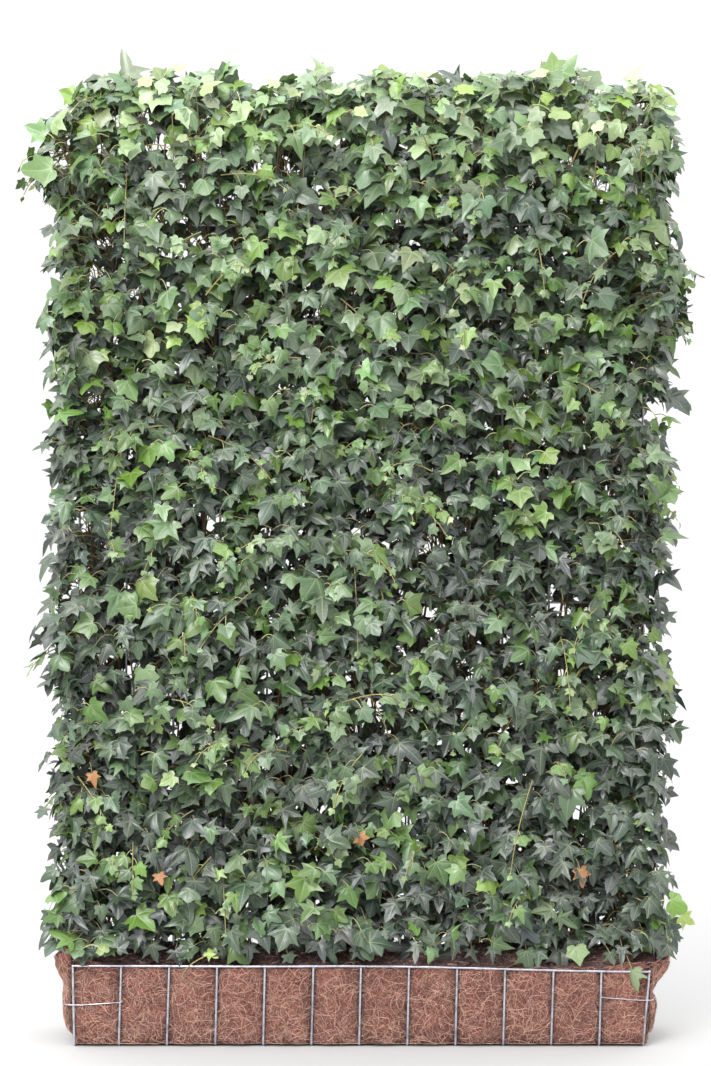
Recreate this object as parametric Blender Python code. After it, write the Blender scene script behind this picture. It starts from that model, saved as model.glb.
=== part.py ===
"""Ivy hedge: a row of ivy plants on a welded steel trellis, rooted in a coir-lined wire basket.

Metres, +Z up. X runs along the hedge and Y through it. The origin is on the ground, under the
middle of the hedge.
"""

import math

import bmesh
import bpy

# Clearance left between pieces that touch.
GAP = 0.0003

# Wire basket: one welded mesh bent into a U, so front, base and back are one piece. Outside sizes.
BASKET_LENGTH = 1.200
BASKET_DEPTH = 0.200
BASKET_HEIGHT = 0.170
BASKET_WIRE = 0.0045
BASKET_BEND = 0.006
BEND_STEPS = 3
CELLS = 12

# End stays: a thin wire round each end, hooked on the second upright of the front and of the back.
STAY_WIRE = 0.0024
STAY_HEIGHT = 0.096
HOOK_STEPS = 3
STAY_END_STEPS = 12

# Coir liner: an open trough of matted fibre that bulges out past the ends of the basket.
LINER_WALL = 0.010
LINER_FLOOR = 0.012
LINER_LIP = 0.008
LINER_EDGE = 0.005
LINER_STRAIGHT_SHORT = 0.015
LINER_END_STEPS = 8
# Share of the liner's height, and how far the liner reaches past the basket's end there.
LINER_END_PROFILE = ((0.0, -0.004), (0.16, 0.010), (0.34, 0.014), (0.72, 0.014), (0.86, 0.030), (1.0, 0.033))

# Potting soil, which fills the liner and is mounded along the row of plants.
SOIL_BELOW_LIP = 0.012
SOIL_MOUND = 0.020
SOIL_CROWN_X = 0.988
SOIL_CROWN_Y = 0.50

# Trellis: a flat welded panel whose uprights line up with the basket's and end in the soil.
TRELLIS_WIRE = 0.005
TRELLIS_TOP = 1.920
TRELLIS_BAR_PITCH = 0.200
TRELLIS_FREE_LEG = 0.090
TRELLIS_LEG = 0.118

# Ivy stems: a woody foot that forks into one shoot up each face of the trellis.
FOOT_DIAMETER = 0.009
FOOT_DEPTH = 0.050
FORK_RISE = 0.030
FORK_LENGTH = 0.040
FORK_OVERLAP = 0.012
SHOOT_DIAMETER = 0.006
SHOOT_BELOW_TOP = 0.030
SHOOT_WANDER = 0.022
SHOOT_RINGS = 8
STEM_SIDES = 6

# Leaf mass of each plant: a soft hood that covers both faces and the top of the trellis.
LEAF_PAST_END = 0.100
LEAF_OVER_TRELLIS = 0.125
LEAF_DEPTH = 0.310
LEAF_ABOVE_SOIL = 0.030
LEAF_SIDE_RELIEF = 0.045
LEAF_FACE_RELIEF = 0.030
LEAF_CORNER_DROP = 0.060
LEAF_LEVELS = 15
# Share of the way out from the last upright, and the share of the full thickness left there.
LEAF_END_ROUNDING = ((0.0, 1.0), (0.40, 1.0), (0.70, 0.86), (0.90, 0.58), (1.0, 0.24))
# Share of the height, and the share of the full thickness there.
LEAF_CROWN_ROUNDING = ((0.0, 0.62), (0.07, 0.90), (0.20, 1.0), (0.87, 1.0), (0.94, 0.88), (1.0, 0.42))

STEEL = ("galvanised_steel", (0.56, 0.57, 0.61), 0.42, 0.9)
COIR = ("coir_fibre", (0.43, 0.24, 0.15), 0.95, 0.0)
SOIL = ("potting_soil", (0.055, 0.035, 0.028), 1.0, 0.0)
BARK = ("ivy_bark", (0.26, 0.15, 0.09), 0.85, 0.0)
LEAF = ("ivy_leaf", (0.065, 0.17, 0.045), 0.5, 0.0)

PITCH = (BASKET_LENGTH - BASKET_WIRE) / CELLS
UPRIGHTS = [(i - CELLS / 2) * PITCH for i in range(CELLS + 1)]
LINER_HALF_DEPTH = BASKET_DEPTH / 2 - BASKET_WIRE - STAY_WIRE - 2 * GAP
LINER_BOTTOM = BASKET_WIRE + GAP
LINER_TOP = BASKET_HEIGHT + LINER_LIP
SOIL_BOTTOM = LINER_BOTTOM + LINER_FLOOR + GAP
SOIL_RIM = LINER_TOP - SOIL_BELOW_LIP
SOIL_TOP = SOIL_RIM + SOIL_MOUND
LEG_BOTTOM = SOIL_TOP - TRELLIS_LEG
SHOOT_OFFSET = TRELLIS_WIRE / 2 + GAP + SHOOT_DIAMETER / 2
SLOT_HALF_DEPTH = SHOOT_OFFSET + SHOOT_DIAMETER / 2 + GAP
SLOT_TOP = TRELLIS_TOP + GAP
SLOT_HALF_LENGTH = UPRIGHTS[-1] + TRELLIS_WIRE / 2 + GAP
LEAF_BOTTOM = SOIL_TOP + LEAF_ABOVE_SOIL
LEAF_TOP = TRELLIS_TOP + LEAF_OVER_TRELLIS
LEAF_HALF_LENGTH = BASKET_LENGTH / 2 + LEAF_PAST_END


def clear_scene():
    for obj in list(bpy.data.objects):
        bpy.data.objects.remove(obj, do_unlink=True)


def make_material(spec):
    name, colour, roughness, metallic = spec
    material = bpy.data.materials.get(name)
    if material:
        return material
    material = bpy.data.materials.new(name)
    material.use_nodes = True
    shader = material.node_tree.nodes["Principled BSDF"]
    shader.inputs["Base Color"].default_value = (*colour, 1.0)
    shader.inputs["Roughness"].default_value = roughness
    shader.inputs["Metallic"].default_value = metallic
    return material


def add_object(name, bm, spec, smooth=True):
    """Turns a bmesh into a named object with its faces pointing out."""
    bmesh.ops.recalc_face_normals(bm, faces=bm.faces)
    mesh = bpy.data.meshes.new(name)
    bm.to_mesh(mesh)
    bm.free()
    obj = bpy.data.objects.new(name, mesh)
    bpy.context.scene.collection.objects.link(obj)
    if spec:
        mesh.materials.append(make_material(spec))
    if smooth:
        mesh.shade_smooth()
        mesh.set_sharp_from_angle(angle=math.radians(40))
    return obj


def make_helper(obj):
    obj.hide_render = True
    obj.display_type = "WIRE"


def add_boolean(obj, other, operation):
    modifier = obj.modifiers.new(operation.lower(), "BOOLEAN")
    modifier.operation = operation
    modifier.solver = "EXACT"
    modifier.object = other


def interpolate(profile, share):
    """Value of a profile of (share, value) points, joined by straight lines."""
    for (low, start), (high, end) in zip(profile, profile[1:]):
        if share <= high:
            return start + (end - start) * (share - low) / (high - low)
    return profile[-1][1]


def smooth_step(share):
    share = min(max(share, 0.0), 1.0)
    return share * share * (3 - 2 * share)


def add_sides(bm, rings):
    """Joins rings of equally many points by triangles, and returns their vertices.

    Each diagonal runs from the lower ring's point to the upper ring's next one, so two nested
    surfaces with the same levels fold the same way and keep their clearance.
    """
    verts = [[bm.verts.new(point) for point in ring] for ring in rings]
    count = len(verts[0])
    for lower, upper in zip(verts, verts[1:]):
        if lower[0].co.z > upper[0].co.z:
            lower, upper = upper, lower
        for i in range(count):
            j = (i + 1) % count
            bm.faces.new((lower[i], lower[j], upper[j]))
            bm.faces.new((lower[i], upper[j], upper[i]))
    return verts


def add_loft(bm, rings):
    """Closed solid through the rings, capped at the first and the last one."""
    verts = add_sides(bm, rings)
    bm.faces.new(verts[0])
    bm.faces.new(verts[-1])


def add_box(bm, low, high):
    ring = [(low[0], low[1]), (high[0], low[1]), (high[0], high[1]), (low[0], high[1])]
    add_loft(bm, [[(x, y, z) for x, y in ring] for z in (low[2], high[2])])


def circle(x, y, z, radius, sides):
    """Level ring with a flat side towards -Y and +Y."""
    angles = [2 * math.pi * (k + 0.5) / sides + math.pi / 2 for k in range(sides)]
    return [(x + radius * math.cos(a), y + radius * math.sin(a), z) for a in angles]


def add_welded_mesh(bm, uprights, wire, stations):
    """Welded wire mesh as one solid.

    Each station is (outer point, inner point, solid), where the points are (y, z) on the two faces
    of the mesh and solid says that a cross wire fills the stretch up to the next station.
    """
    lines = [x + side * wire / 2 for x in uprights for side in (-1, 1)]
    rows = [[(bm.verts.new((x, *outer)), bm.verts.new((x, *inner))) for x in lines] for outer, inner, _ in stations]

    def filled(i, j):
        inside = 0 <= i < len(lines) - 1 and 0 <= j < len(stations) - 1
        return inside and (i % 2 == 0 or stations[j][2])

    for j in range(len(stations)):
        for i in range(len(lines)):
            here = rows[j][i]
            if filled(i, j):
                right, up, across = rows[j][i + 1], rows[j + 1][i], rows[j + 1][i + 1]
                for face in (0, 1):
                    bm.faces.new((here[face], right[face], across[face], up[face]))
            if filled(i, j) != filled(i - 1, j):
                up = rows[j + 1][i]
                bm.faces.new((here[0], up[0], up[1], here[1]))
            if filled(i, j) != filled(i, j - 1):
                right = rows[j][i + 1]
                bm.faces.new((here[0], right[0], right[1], here[1]))
    loose = [vert for vert in bm.verts if not vert.link_faces]
    bmesh.ops.delete(bm, geom=loose, context="VERTS")


def basket_stations():
    """Half of the U, from the top of the front down to the middle of the base, then its mirror image."""
    front = BASKET_DEPTH / 2
    wire = BASKET_WIRE
    bend = wire + BASKET_BEND
    half = [
        ((-front, BASKET_HEIGHT), (-front + wire, BASKET_HEIGHT), True),
        ((-front, BASKET_HEIGHT - wire), (-front + wire, BASKET_HEIGHT - wire), False),
        ((-front, bend + wire), (-front + wire, bend + wire), True),
    ]
    for step in range(BEND_STEPS + 1):
        angle = math.pi / 2 * step / BEND_STEPS
        outer = (-front + bend - bend * math.cos(angle), bend - bend * math.sin(angle))
        inner = (-front + bend - BASKET_BEND * math.cos(angle), bend - BASKET_BEND * math.sin(angle))
        half.append((outer, inner, False))
    half.append(((-wire / 2, 0.0), (-wire / 2, wire), True))
    mirrored = []
    for index in range(len(half) - 1, -1, -1):
        (outer_y, outer_z), (inner_y, inner_z), _ = half[index]
        solid = half[index - 1][2] if index else False
        mirrored.append(((-outer_y, outer_z), (-inner_y, inner_z), solid))
    return half + mirrored


def trellis_stations():
    """Free legs, then bars at an even pitch, counted down from the top bar."""
    front, back = -TRELLIS_WIRE / 2, TRELLIS_WIRE / 2
    room = TRELLIS_TOP - TRELLIS_WIRE - SOIL_TOP - TRELLIS_FREE_LEG
    stations = [((front, LEG_BOTTOM), (back, LEG_BOTTOM), False)]
    for bar in range(int(room / TRELLIS_BAR_PITCH), -1, -1):
        top = TRELLIS_TOP - bar * TRELLIS_BAR_PITCH
        stations.append(((front, top - TRELLIS_WIRE), (back, top - TRELLIS_WIRE), True))
        stations.append(((front, top), (back, top), False))
    return stations


def make_wire_basket():
    bm = bmesh.new()
    add_welded_mesh(bm, UPRIGHTS, BASKET_WIRE, basket_stations())
    add_object("wire_basket", bm, STEEL)


def make_trellis():
    bm = bmesh.new()
    add_welded_mesh(bm, UPRIGHTS, TRELLIS_WIRE, trellis_stations())
    add_object("trellis_panel", bm, STEEL)


def liner_reach(height):
    """How far the outside of the liner's end stands from the middle of the basket at this height."""
    share = (height - LINER_BOTTOM) / (LINER_TOP - LINER_BOTTOM)
    return BASKET_LENGTH / 2 + interpolate(LINER_END_PROFILE, share)


def liner_outline(height, inset):
    """Outline of the trough at this height, moved in by inset: straight sides and elliptical ends."""
    straight = BASKET_LENGTH / 2 - LINER_STRAIGHT_SHORT
    bulge = liner_reach(height) - straight - inset
    half_depth = LINER_HALF_DEPTH - inset
    angles = [math.pi * (step / LINER_END_STEPS - 0.5) for step in range(LINER_END_STEPS + 1)]
    right = [(straight + bulge * math.cos(a), half_depth * math.sin(a)) for a in angles]
    left = [(-x, -y) for x, y in right]
    return right + left


def liner_levels(low, high):
    """Heights of the end profile's points that lie between low and high, with both ends."""
    span = LINER_TOP - LINER_BOTTOM
    inner = [LINER_BOTTOM + share * span for share, _ in LINER_END_PROFILE]
    return [low] + [z for z in inner if low + GAP < z < high - GAP] + [high]


def make_coir_liner():
    outside = liner_levels(LINER_BOTTOM + LINER_EDGE, LINER_TOP)
    inside = liner_levels(LINER_BOTTOM + LINER_FLOOR, LINER_TOP)[::-1]
    rings = [[(x, y, LINER_BOTTOM) for x, y in liner_outline(LINER_BOTTOM, LINER_EDGE)]]
    rings += [[(x, y, z) for x, y in liner_outline(z, 0.0)] for z in outside]
    rings += [[(x, y, z) for x, y in liner_outline(z, LINER_WALL)] for z in inside]
    bm = bmesh.new()
    add_loft(bm, rings)
    add_object("coir_liner", bm, COIR)


def plant_x(plant):
    return (UPRIGHTS[plant] + UPRIGHTS[plant + 1]) / 2


def make_soil_cutter():
    """Sockets for the trellis legs and for the woody feet of the plants."""
    bm = bmesh.new()
    above = SOIL_TOP + 0.02
    half = TRELLIS_WIRE / 2 + GAP
    for x in UPRIGHTS:
        add_box(bm, (x - half, -half, LEG_BOTTOM - GAP), (x + half, half, above))
    for plant in range(CELLS):
        x = plant_x(plant)
        radius = FOOT_DIAMETER / 2 + GAP
        levels = (SOIL_TOP - FOOT_DEPTH - GAP, above)
        add_loft(bm, [circle(x, 0.0, z, radius, STEM_SIDES) for z in levels])
    cutter = add_object("soil_sockets", bm, None, smooth=False)
    make_helper(cutter)
    return cutter


def make_soil():
    inset = LINER_WALL + GAP
    rings = [[(x, y, z) for x, y in liner_outline(z, inset)] for z in liner_levels(SOIL_BOTTOM, SOIL_RIM)]
    rings.append([(x * SOIL_CROWN_X, y * SOIL_CROWN_Y, SOIL_TOP) for x, y in liner_outline(SOIL_RIM, inset)])
    bm = bmesh.new()
    add_loft(bm, rings)
    soil = add_object("potting_soil", bm, SOIL)
    add_boolean(soil, make_soil_cutter(), "DIFFERENCE")


def stay_path():
    """Half of the right-hand stay, from its hook on the front to the middle of the end."""
    radius = STAY_WIRE / 2
    half_wire = BASKET_WIRE / 2
    post_x = UPRIGHTS[-2]
    post_y = half_wire - BASKET_DEPTH / 2
    points = [(post_x + BASKET_WIRE, post_y + half_wire + GAP + radius)]
    for turn, side in ((0, 1), (1, -1)):
        for step in range(HOOK_STEPS + 1):
            angle = math.pi / 2 * (1 + turn + step / HOOK_STEPS)
            x = post_x - half_wire + (radius + 2 * GAP) * math.cos(angle)
            points.append((x, post_y + side * half_wire + (radius + GAP) * math.sin(angle)))
    corner = BASKET_LENGTH / 2
    bulge = liner_reach(STAY_HEIGHT) + GAP + radius - corner
    half_depth = BASKET_DEPTH / 2 + GAP + radius
    for step in range(STAY_END_STEPS + 1):
        angle = math.pi / 2 * (1 - step / STAY_END_STEPS)
        points.append((corner + bulge * math.cos(angle), -half_depth * math.sin(angle)))
    return points


def make_end_stay(name, side):
    front = stay_path()
    back = [(x, -y) for x, y in front[-2::-1]]
    curve = bpy.data.curves.new(name, "CURVE")
    curve.dimensions = "3D"
    curve.bevel_depth = STAY_WIRE / 2
    curve.bevel_resolution = 1
    curve.use_fill_caps = True
    spline = curve.splines.new("POLY")
    points = front + back
    spline.points.add(len(points) - 1)
    for point, (x, y) in zip(spline.points, points):
        point.co = (side * x, y, STAY_HEIGHT, 1.0)
    curve.materials.append(make_material(STEEL))
    bpy.context.scene.collection.objects.link(bpy.data.objects.new(name, curve))


def shoot_rings(plant, side):
    """Rings of one shoot from the fork up, on the front (side -1) or the back (side 1) of the trellis."""
    start = SOIL_TOP + FORK_RISE
    top = TRELLIS_TOP - SHOOT_BELOW_TOP
    rings = []
    for ring in range(SHOOT_RINGS + 1):
        z = start + FORK_LENGTH + (top - start - FORK_LENGTH) * ring / SHOOT_RINGS
        climb = smooth_step((z - start - FORK_LENGTH) / (top - start) * 4)
        turn = 5.3 * z + 2.1 * plant + 1.3 * side
        x = plant_x(plant) + climb * SHOOT_WANDER * math.sin(turn)
        taper = 1.0 - 0.45 * ring / SHOOT_RINGS
        y = side * (SHOOT_OFFSET - SHOOT_DIAMETER / 2 * (1 - taper))
        rings.append(circle(x, y, z, SHOOT_DIAMETER / 2 * taper, STEM_SIDES))
    return rings


def make_stem(plant):
    name = f"ivy_stem_{plant + 1:02d}"
    x = plant_x(plant)
    fork = SOIL_TOP + FORK_RISE
    foot = [circle(x, 0.0, z, FOOT_DIAMETER / 2, STEM_SIDES) for z in (SOIL_TOP - FOOT_DEPTH, fork)]
    bm = bmesh.new()
    add_loft(bm, foot + shoot_rings(plant, -1))
    stem = add_object(name, bm, BARK)
    bm = bmesh.new()
    start = [circle(x, 0.0, fork - FORK_OVERLAP, SHOOT_DIAMETER / 2, STEM_SIDES)]
    add_loft(bm, start + shoot_rings(plant, 1))
    branch = add_object(name + "_branch", bm, None)
    make_helper(branch)
    add_boolean(stem, branch, "UNION")


def waves(a, b, phase):
    """Smooth uneven pattern between -1 and 1."""
    total = math.sin(a + 1.7 * b + phase) + math.sin(2.3 * a - 1.1 * b + 2 * phase) + math.sin(0.6 * a + 2.9 * b - phase)
    return total / 3


def edge_reaches(widest, phase, amount):
    """Reach of one end of the leaf mass at each level, of which the largest is exactly widest."""
    relief = [waves(0.0, 4.1 * level / LEAF_LEVELS * math.pi, phase) for level in range(LEAF_LEVELS + 1)]
    peak = max(relief)
    low = min(relief)
    return [widest - amount * (peak - value) / (peak - low) for value in relief]


def leaf_top(x):
    """Height of the top of the leaves, a little lower towards the ends."""
    return LEAF_TOP - LEAF_CORNER_DROP * min(abs(x) / LEAF_HALF_LENGTH, 1.0) ** 4


def leaf_columns(plant):
    """For each level, the x places across one plant's leaf mass and the thickness share at each."""
    left = UPRIGHTS[plant] + GAP / 2
    right = UPRIGHTS[plant + 1] - GAP / 2
    if 0 < plant < CELLS - 1:
        return [[(left, 1.0), ((left + right) / 2, 1.0), (right, 1.0)]] * (LEAF_LEVELS + 1)
    side = -1 if plant == 0 else 1
    inner = min(abs(left), abs(right))
    columns = []
    for reach in edge_reaches(LEAF_HALF_LENGTH, 0.8 + side, LEAF_SIDE_RELIEF):
        row = [(side * (inner + share * (reach - inner)), width) for share, width in LEAF_END_ROUNDING]
        columns.append(row[::side])
    return columns


def face_relief(x, level, phase):
    return waves(9.0 * x, 0.9 * level, phase)


def relief_peak(phase):
    """Highest relief over all the places where the leaf masses have their full thickness."""
    found = []
    for plant in range(CELLS):
        for level, row in enumerate(leaf_columns(plant)):
            share = interpolate(LEAF_CROWN_ROUNDING, level / LEAF_LEVELS)
            full = [x for x, width in row if width * share > 0.999]
            found += [face_relief(x, level, phase) for x in full]
    return max(found)


def leaf_face(x, level, width, side, peak):
    """Distance of one face of the leaf mass from the trellis."""
    crown = interpolate(LEAF_CROWN_ROUNDING, level / LEAF_LEVELS)
    drop = LEAF_FACE_RELIEF * (peak - face_relief(x, level, 1.5 * side)) / 2
    return side * (LEAF_DEPTH / 2 - drop) * crown * width


def make_leaves(plant, slot, peaks):
    """Closed mass of leaves from face to face, with a slot for the trellis and the shoots."""
    columns = leaf_columns(plant)
    rings = []
    for level, row in enumerate(columns):
        share = level / LEAF_LEVELS
        loop = []
        for side, places in ((-1, row), (1, row[::-1])):
            for x, width in places:
                z = LEAF_BOTTOM + share * (leaf_top(x) - LEAF_BOTTOM)
                loop.append((x, leaf_face(x, level, width, side, peaks[side]), z))
        rings.append(loop)
    bm = bmesh.new()
    verts = add_sides(bm, rings)
    count = len(verts[0])
    for ring in (verts[0], verts[-1]):
        for i in range(count // 2 - 1):
            bm.faces.new((ring[i], ring[i + 1], ring[count - 2 - i], ring[count - 1 - i]))
    leaves = add_object(f"ivy_leaves_{plant + 1:02d}", bm, LEAF)
    add_boolean(leaves, slot, "DIFFERENCE")


def make_leaf_slot():
    bm = bmesh.new()
    low = (-SLOT_HALF_LENGTH, -SLOT_HALF_DEPTH, 0.0)
    add_box(bm, low, (SLOT_HALF_LENGTH, SLOT_HALF_DEPTH, SLOT_TOP))
    slot = add_object("leaf_slot", bm, None, smooth=False)
    make_helper(slot)
    return slot


def main():
    clear_scene()
    make_wire_basket()
    make_trellis()
    make_end_stay("left_end_stay", -1)
    make_end_stay("right_end_stay", 1)
    make_coir_liner()
    make_soil()
    slot = make_leaf_slot()
    peaks = {side: relief_peak(1.5 * side) for side in (-1, 1)}
    for plant in range(CELLS):
        make_stem(plant)
        make_leaves(plant, slot, peaks)


main()
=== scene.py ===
import math

import bpy
import numpy as np
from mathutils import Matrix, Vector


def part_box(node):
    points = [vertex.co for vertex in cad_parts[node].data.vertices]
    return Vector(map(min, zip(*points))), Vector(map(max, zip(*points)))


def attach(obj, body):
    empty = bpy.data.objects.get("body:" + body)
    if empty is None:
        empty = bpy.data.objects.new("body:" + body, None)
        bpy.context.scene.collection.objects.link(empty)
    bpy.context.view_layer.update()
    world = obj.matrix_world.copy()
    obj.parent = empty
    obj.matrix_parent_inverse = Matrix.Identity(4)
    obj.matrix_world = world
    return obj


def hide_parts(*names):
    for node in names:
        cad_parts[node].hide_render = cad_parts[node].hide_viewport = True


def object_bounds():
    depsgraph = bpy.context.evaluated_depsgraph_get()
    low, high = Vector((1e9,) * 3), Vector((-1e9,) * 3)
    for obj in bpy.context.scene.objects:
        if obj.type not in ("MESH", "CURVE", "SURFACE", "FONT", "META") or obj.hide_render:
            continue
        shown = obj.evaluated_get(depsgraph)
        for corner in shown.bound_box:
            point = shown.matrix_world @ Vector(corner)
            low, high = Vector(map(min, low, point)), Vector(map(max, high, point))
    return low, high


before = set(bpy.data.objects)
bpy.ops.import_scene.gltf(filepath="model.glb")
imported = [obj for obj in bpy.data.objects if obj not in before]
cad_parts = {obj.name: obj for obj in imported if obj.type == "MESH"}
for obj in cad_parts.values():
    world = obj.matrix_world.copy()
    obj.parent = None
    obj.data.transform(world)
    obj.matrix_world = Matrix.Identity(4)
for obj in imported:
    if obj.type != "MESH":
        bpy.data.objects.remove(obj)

CAD_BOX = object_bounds()
SEED = 20
rng = np.random.default_rng(SEED)

CELLS = 12
FRONT, BACK = -1, 1
UP = np.array([0.0, 0.0, 1.0])


# ---------------------------------------------------------------- sizes read from the frame

def node_points(name):
    """Vertices of a CAD node, in metres."""
    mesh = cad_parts[name].data
    points = np.empty(len(mesh.vertices) * 3)
    mesh.vertices.foreach_get("co", points)
    return points.reshape(-1, 3)


BASKET = np.array(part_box("wire_basket"))
TRELLIS = np.array(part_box("trellis_panel"))
LINER = np.array(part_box("coir_liner"))
SOIL = np.array(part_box("potting_soil"))
STAY = np.array(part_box("right_end_stay"))
WIRE = 0.0052
PITCH = (BASKET[1, 0] - BASKET[0, 0] - WIRE) / CELLS
UPRIGHTS = (np.arange(CELLS + 1) - CELLS / 2) * PITCH
SOIL_TOP = SOIL[1, 2]
RIM = BASKET[1, 2]
LEAF_SIDE_LIMIT = CAD_BOX[1][1] + 0.011
LEAF_SIDE_SOFT = 0.138
VIEW_DISTANCE = 4.2
VIEW_HEIGHT = 1.064
VIEW_SIDE = -0.012
FRAME_HEIGHT = 2.2066
SENSOR = 36.0


def smooth(share):
    share = np.clip(share, 0.0, 1.0)
    return share * share * (3 - 2 * share)


def unit(v):
    return v / np.maximum(np.linalg.norm(v, axis=-1, keepdims=True), 1e-9)


def mix(a, b, share):
    a, b = np.asarray(a), np.asarray(b)
    return a + (b - a) * share


def bumps(at, listed):
    """Sum of bulges (more than 0) and hollows, each given by its place, height and half width."""
    return sum(extra * np.exp(-((at - place) / half) ** 2) for place, extra, half in listed)


def bounded(mean, spread, low, high, count):
    """Normal random values held between low and high."""
    return np.clip(rng.normal(mean, spread, count), low, high)


def with_chance(colour):
    """Colours with a random value as the fourth number."""
    return np.concatenate([colour, rng.random((len(colour), 1))], axis=1)


def on_curve(a, b, c, d, t):
    return a * (1 - t) ** 3 + 3 * b * t * (1 - t) ** 2 + 3 * c * t * t * (1 - t) + d * t ** 3


def curves(a, b, c, d, rings):
    """Evenly spaced points on every curve, as (curves, rings, 3)."""
    t = np.linspace(0, 1, rings)[None, :, None]
    return on_curve(a[:, None], b[:, None], c[:, None], d[:, None], t)


# ---------------------------------------------------------------- mesh making

class Patchwork:
    """Patches of faces that become one mesh object.

    A patch has points, faces, a place in the piece's own map for each corner and, for each point,
    a tint with a random value and a local coordinate.
    """

    def __init__(self):
        self.points, self.tints, self.local = [], [], []
        self.corners, self.sizes, self.maps, self.slots = [], [], [], []
        self.count = 0

    def add(self, points, faces, atlas, tint=None, local=None, slot=0):
        points = points.reshape(-1, 3)
        plain_tint, plain_local = np.full((len(points), 4), 0.5), np.zeros((len(points), 2))
        self.points.append(points)
        self.tints.append(plain_tint if tint is None else tint.reshape(-1, 4))
        self.local.append(plain_local if local is None else local.reshape(-1, 2))
        self.count += len(points)
        self.add_faces(faces, atlas, slot)

    def add_faces(self, faces, atlas, slot=0):
        """More faces on the points of the last patch."""
        faces = faces.reshape(-1, faces.shape[-1])
        self.corners.append((faces + self.count - len(self.points[-1])).ravel())
        self.sizes.append(np.full(len(faces), faces.shape[1]))
        self.slots.append(np.full(len(faces), slot))
        self.maps.append(atlas.reshape(-1, 2))

    def build(self, name, materials):
        points, corners = np.concatenate(self.points), np.concatenate(self.corners)
        sizes = np.concatenate(self.sizes)
        mesh = bpy.data.meshes.new(name)
        mesh.vertices.add(len(points))
        mesh.vertices.foreach_set("co", points.astype(np.float32).ravel())
        mesh.loops.add(len(corners))
        mesh.loops.foreach_set("vertex_index", corners.astype(np.int32))
        mesh.polygons.add(len(sizes))
        mesh.polygons.foreach_set("loop_start", (np.cumsum(sizes) - sizes).astype(np.int32))
        mesh.polygons.foreach_set("material_index", np.concatenate(self.slots).astype(np.int32))
        mesh.polygons.foreach_set("use_smooth", np.ones(len(sizes), dtype=bool))
        mesh.update(calc_edges=True)
        layers = {"OFBake": np.concatenate(self.maps), "local": np.concatenate(self.local)[corners]}
        for layer, places in layers.items():
            mesh.uv_layers.new(name=layer).data.foreach_set("uv", places.astype(np.float32).ravel())
        tint = mesh.attributes.new("tint", "FLOAT_COLOR", "POINT")
        tint.data.foreach_set("color", np.concatenate(self.tints).astype(np.float32).ravel())
        for material in materials:
            mesh.materials.append(material)
        piece = bpy.data.objects.new(name, mesh)
        bpy.context.scene.collection.objects.link(piece)
        return piece


def grid_faces(rows, columns, wrap=False):
    """Quads of a grid of points, and the places of their corners in the grid, from 0 to 1."""
    across = columns if wrap else columns - 1
    r, s = np.meshgrid(np.arange(rows - 1), np.arange(across), indexing="ij")
    low, high, after = r * columns, (r + 1) * columns, (s + 1) % columns
    faces = np.stack([low + s, low + after, high + after, high + s], -1)
    places = [np.stack([s + over, r + up], -1) for over, up in ((0, 0), (1, 0), (1, 1), (0, 1))]
    return faces.reshape(-1, 4), np.stack(places, -2).reshape(-1, 4, 2) / np.array([across, rows - 1.0])


def atlas_cells(count, low, high):
    """Lower corners and size of count equal cells that fill the map between two heights."""
    columns = max(1, math.ceil(math.sqrt(count / (high - low))))
    rows = max(1, math.ceil(count / columns))
    index = np.arange(count)
    size = np.array([1.0 / columns, (high - low) / rows])
    corner = np.stack([index % columns * size[0], low + index // columns * size[1]], axis=1)
    return corner + size * 0.04, size * 0.92


def add_tubes(work, paths, radii, sides, tints, band, slot=0, flat=0.0):
    """Round tubes along paths (tubes, rings, 3). band gives the two heights of their part of the map."""
    count, rings, _ = paths.shape
    if count == 0:
        return
    tangent = unit(np.gradient(paths, axis=1))
    chord = unit(paths[:, -1] - paths[:, 0])
    helper = np.where(np.abs(chord[:, 1:2]) < 0.8, [[0.0, 1.0, 0.0]], [[1.0, 0.0, 0.0]])[:, None, :]
    across = unit(np.cross(tangent, helper))
    over = np.cross(across, tangent)
    angles = (2 * np.pi * np.arange(sides) / sides)[:, None]
    ring = across[:, :, None] * np.cos(angles) + over[:, :, None] * np.sin(angles) * (1 - flat)
    points = paths[:, :, None] + ring * np.broadcast_to(radii, (count, rings))[:, :, None, None]
    quads, places = grid_faces(rings, sides, wrap=True)
    faces = quads[None] + (np.arange(count) * rings * sides)[:, None, None]
    corner, size = atlas_cells(count, *band)
    atlas = corner[:, None, None] + places[None] * size
    if tints is not None:
        tints = tints[:, None] if tints.ndim == 2 else tints
        tints = np.broadcast_to(tints[:, :, None], (count, rings, sides, 4))
    work.add(points, faces, atlas, tints, slot=slot)


# ---------------------------------------------------------------- node materials

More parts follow.
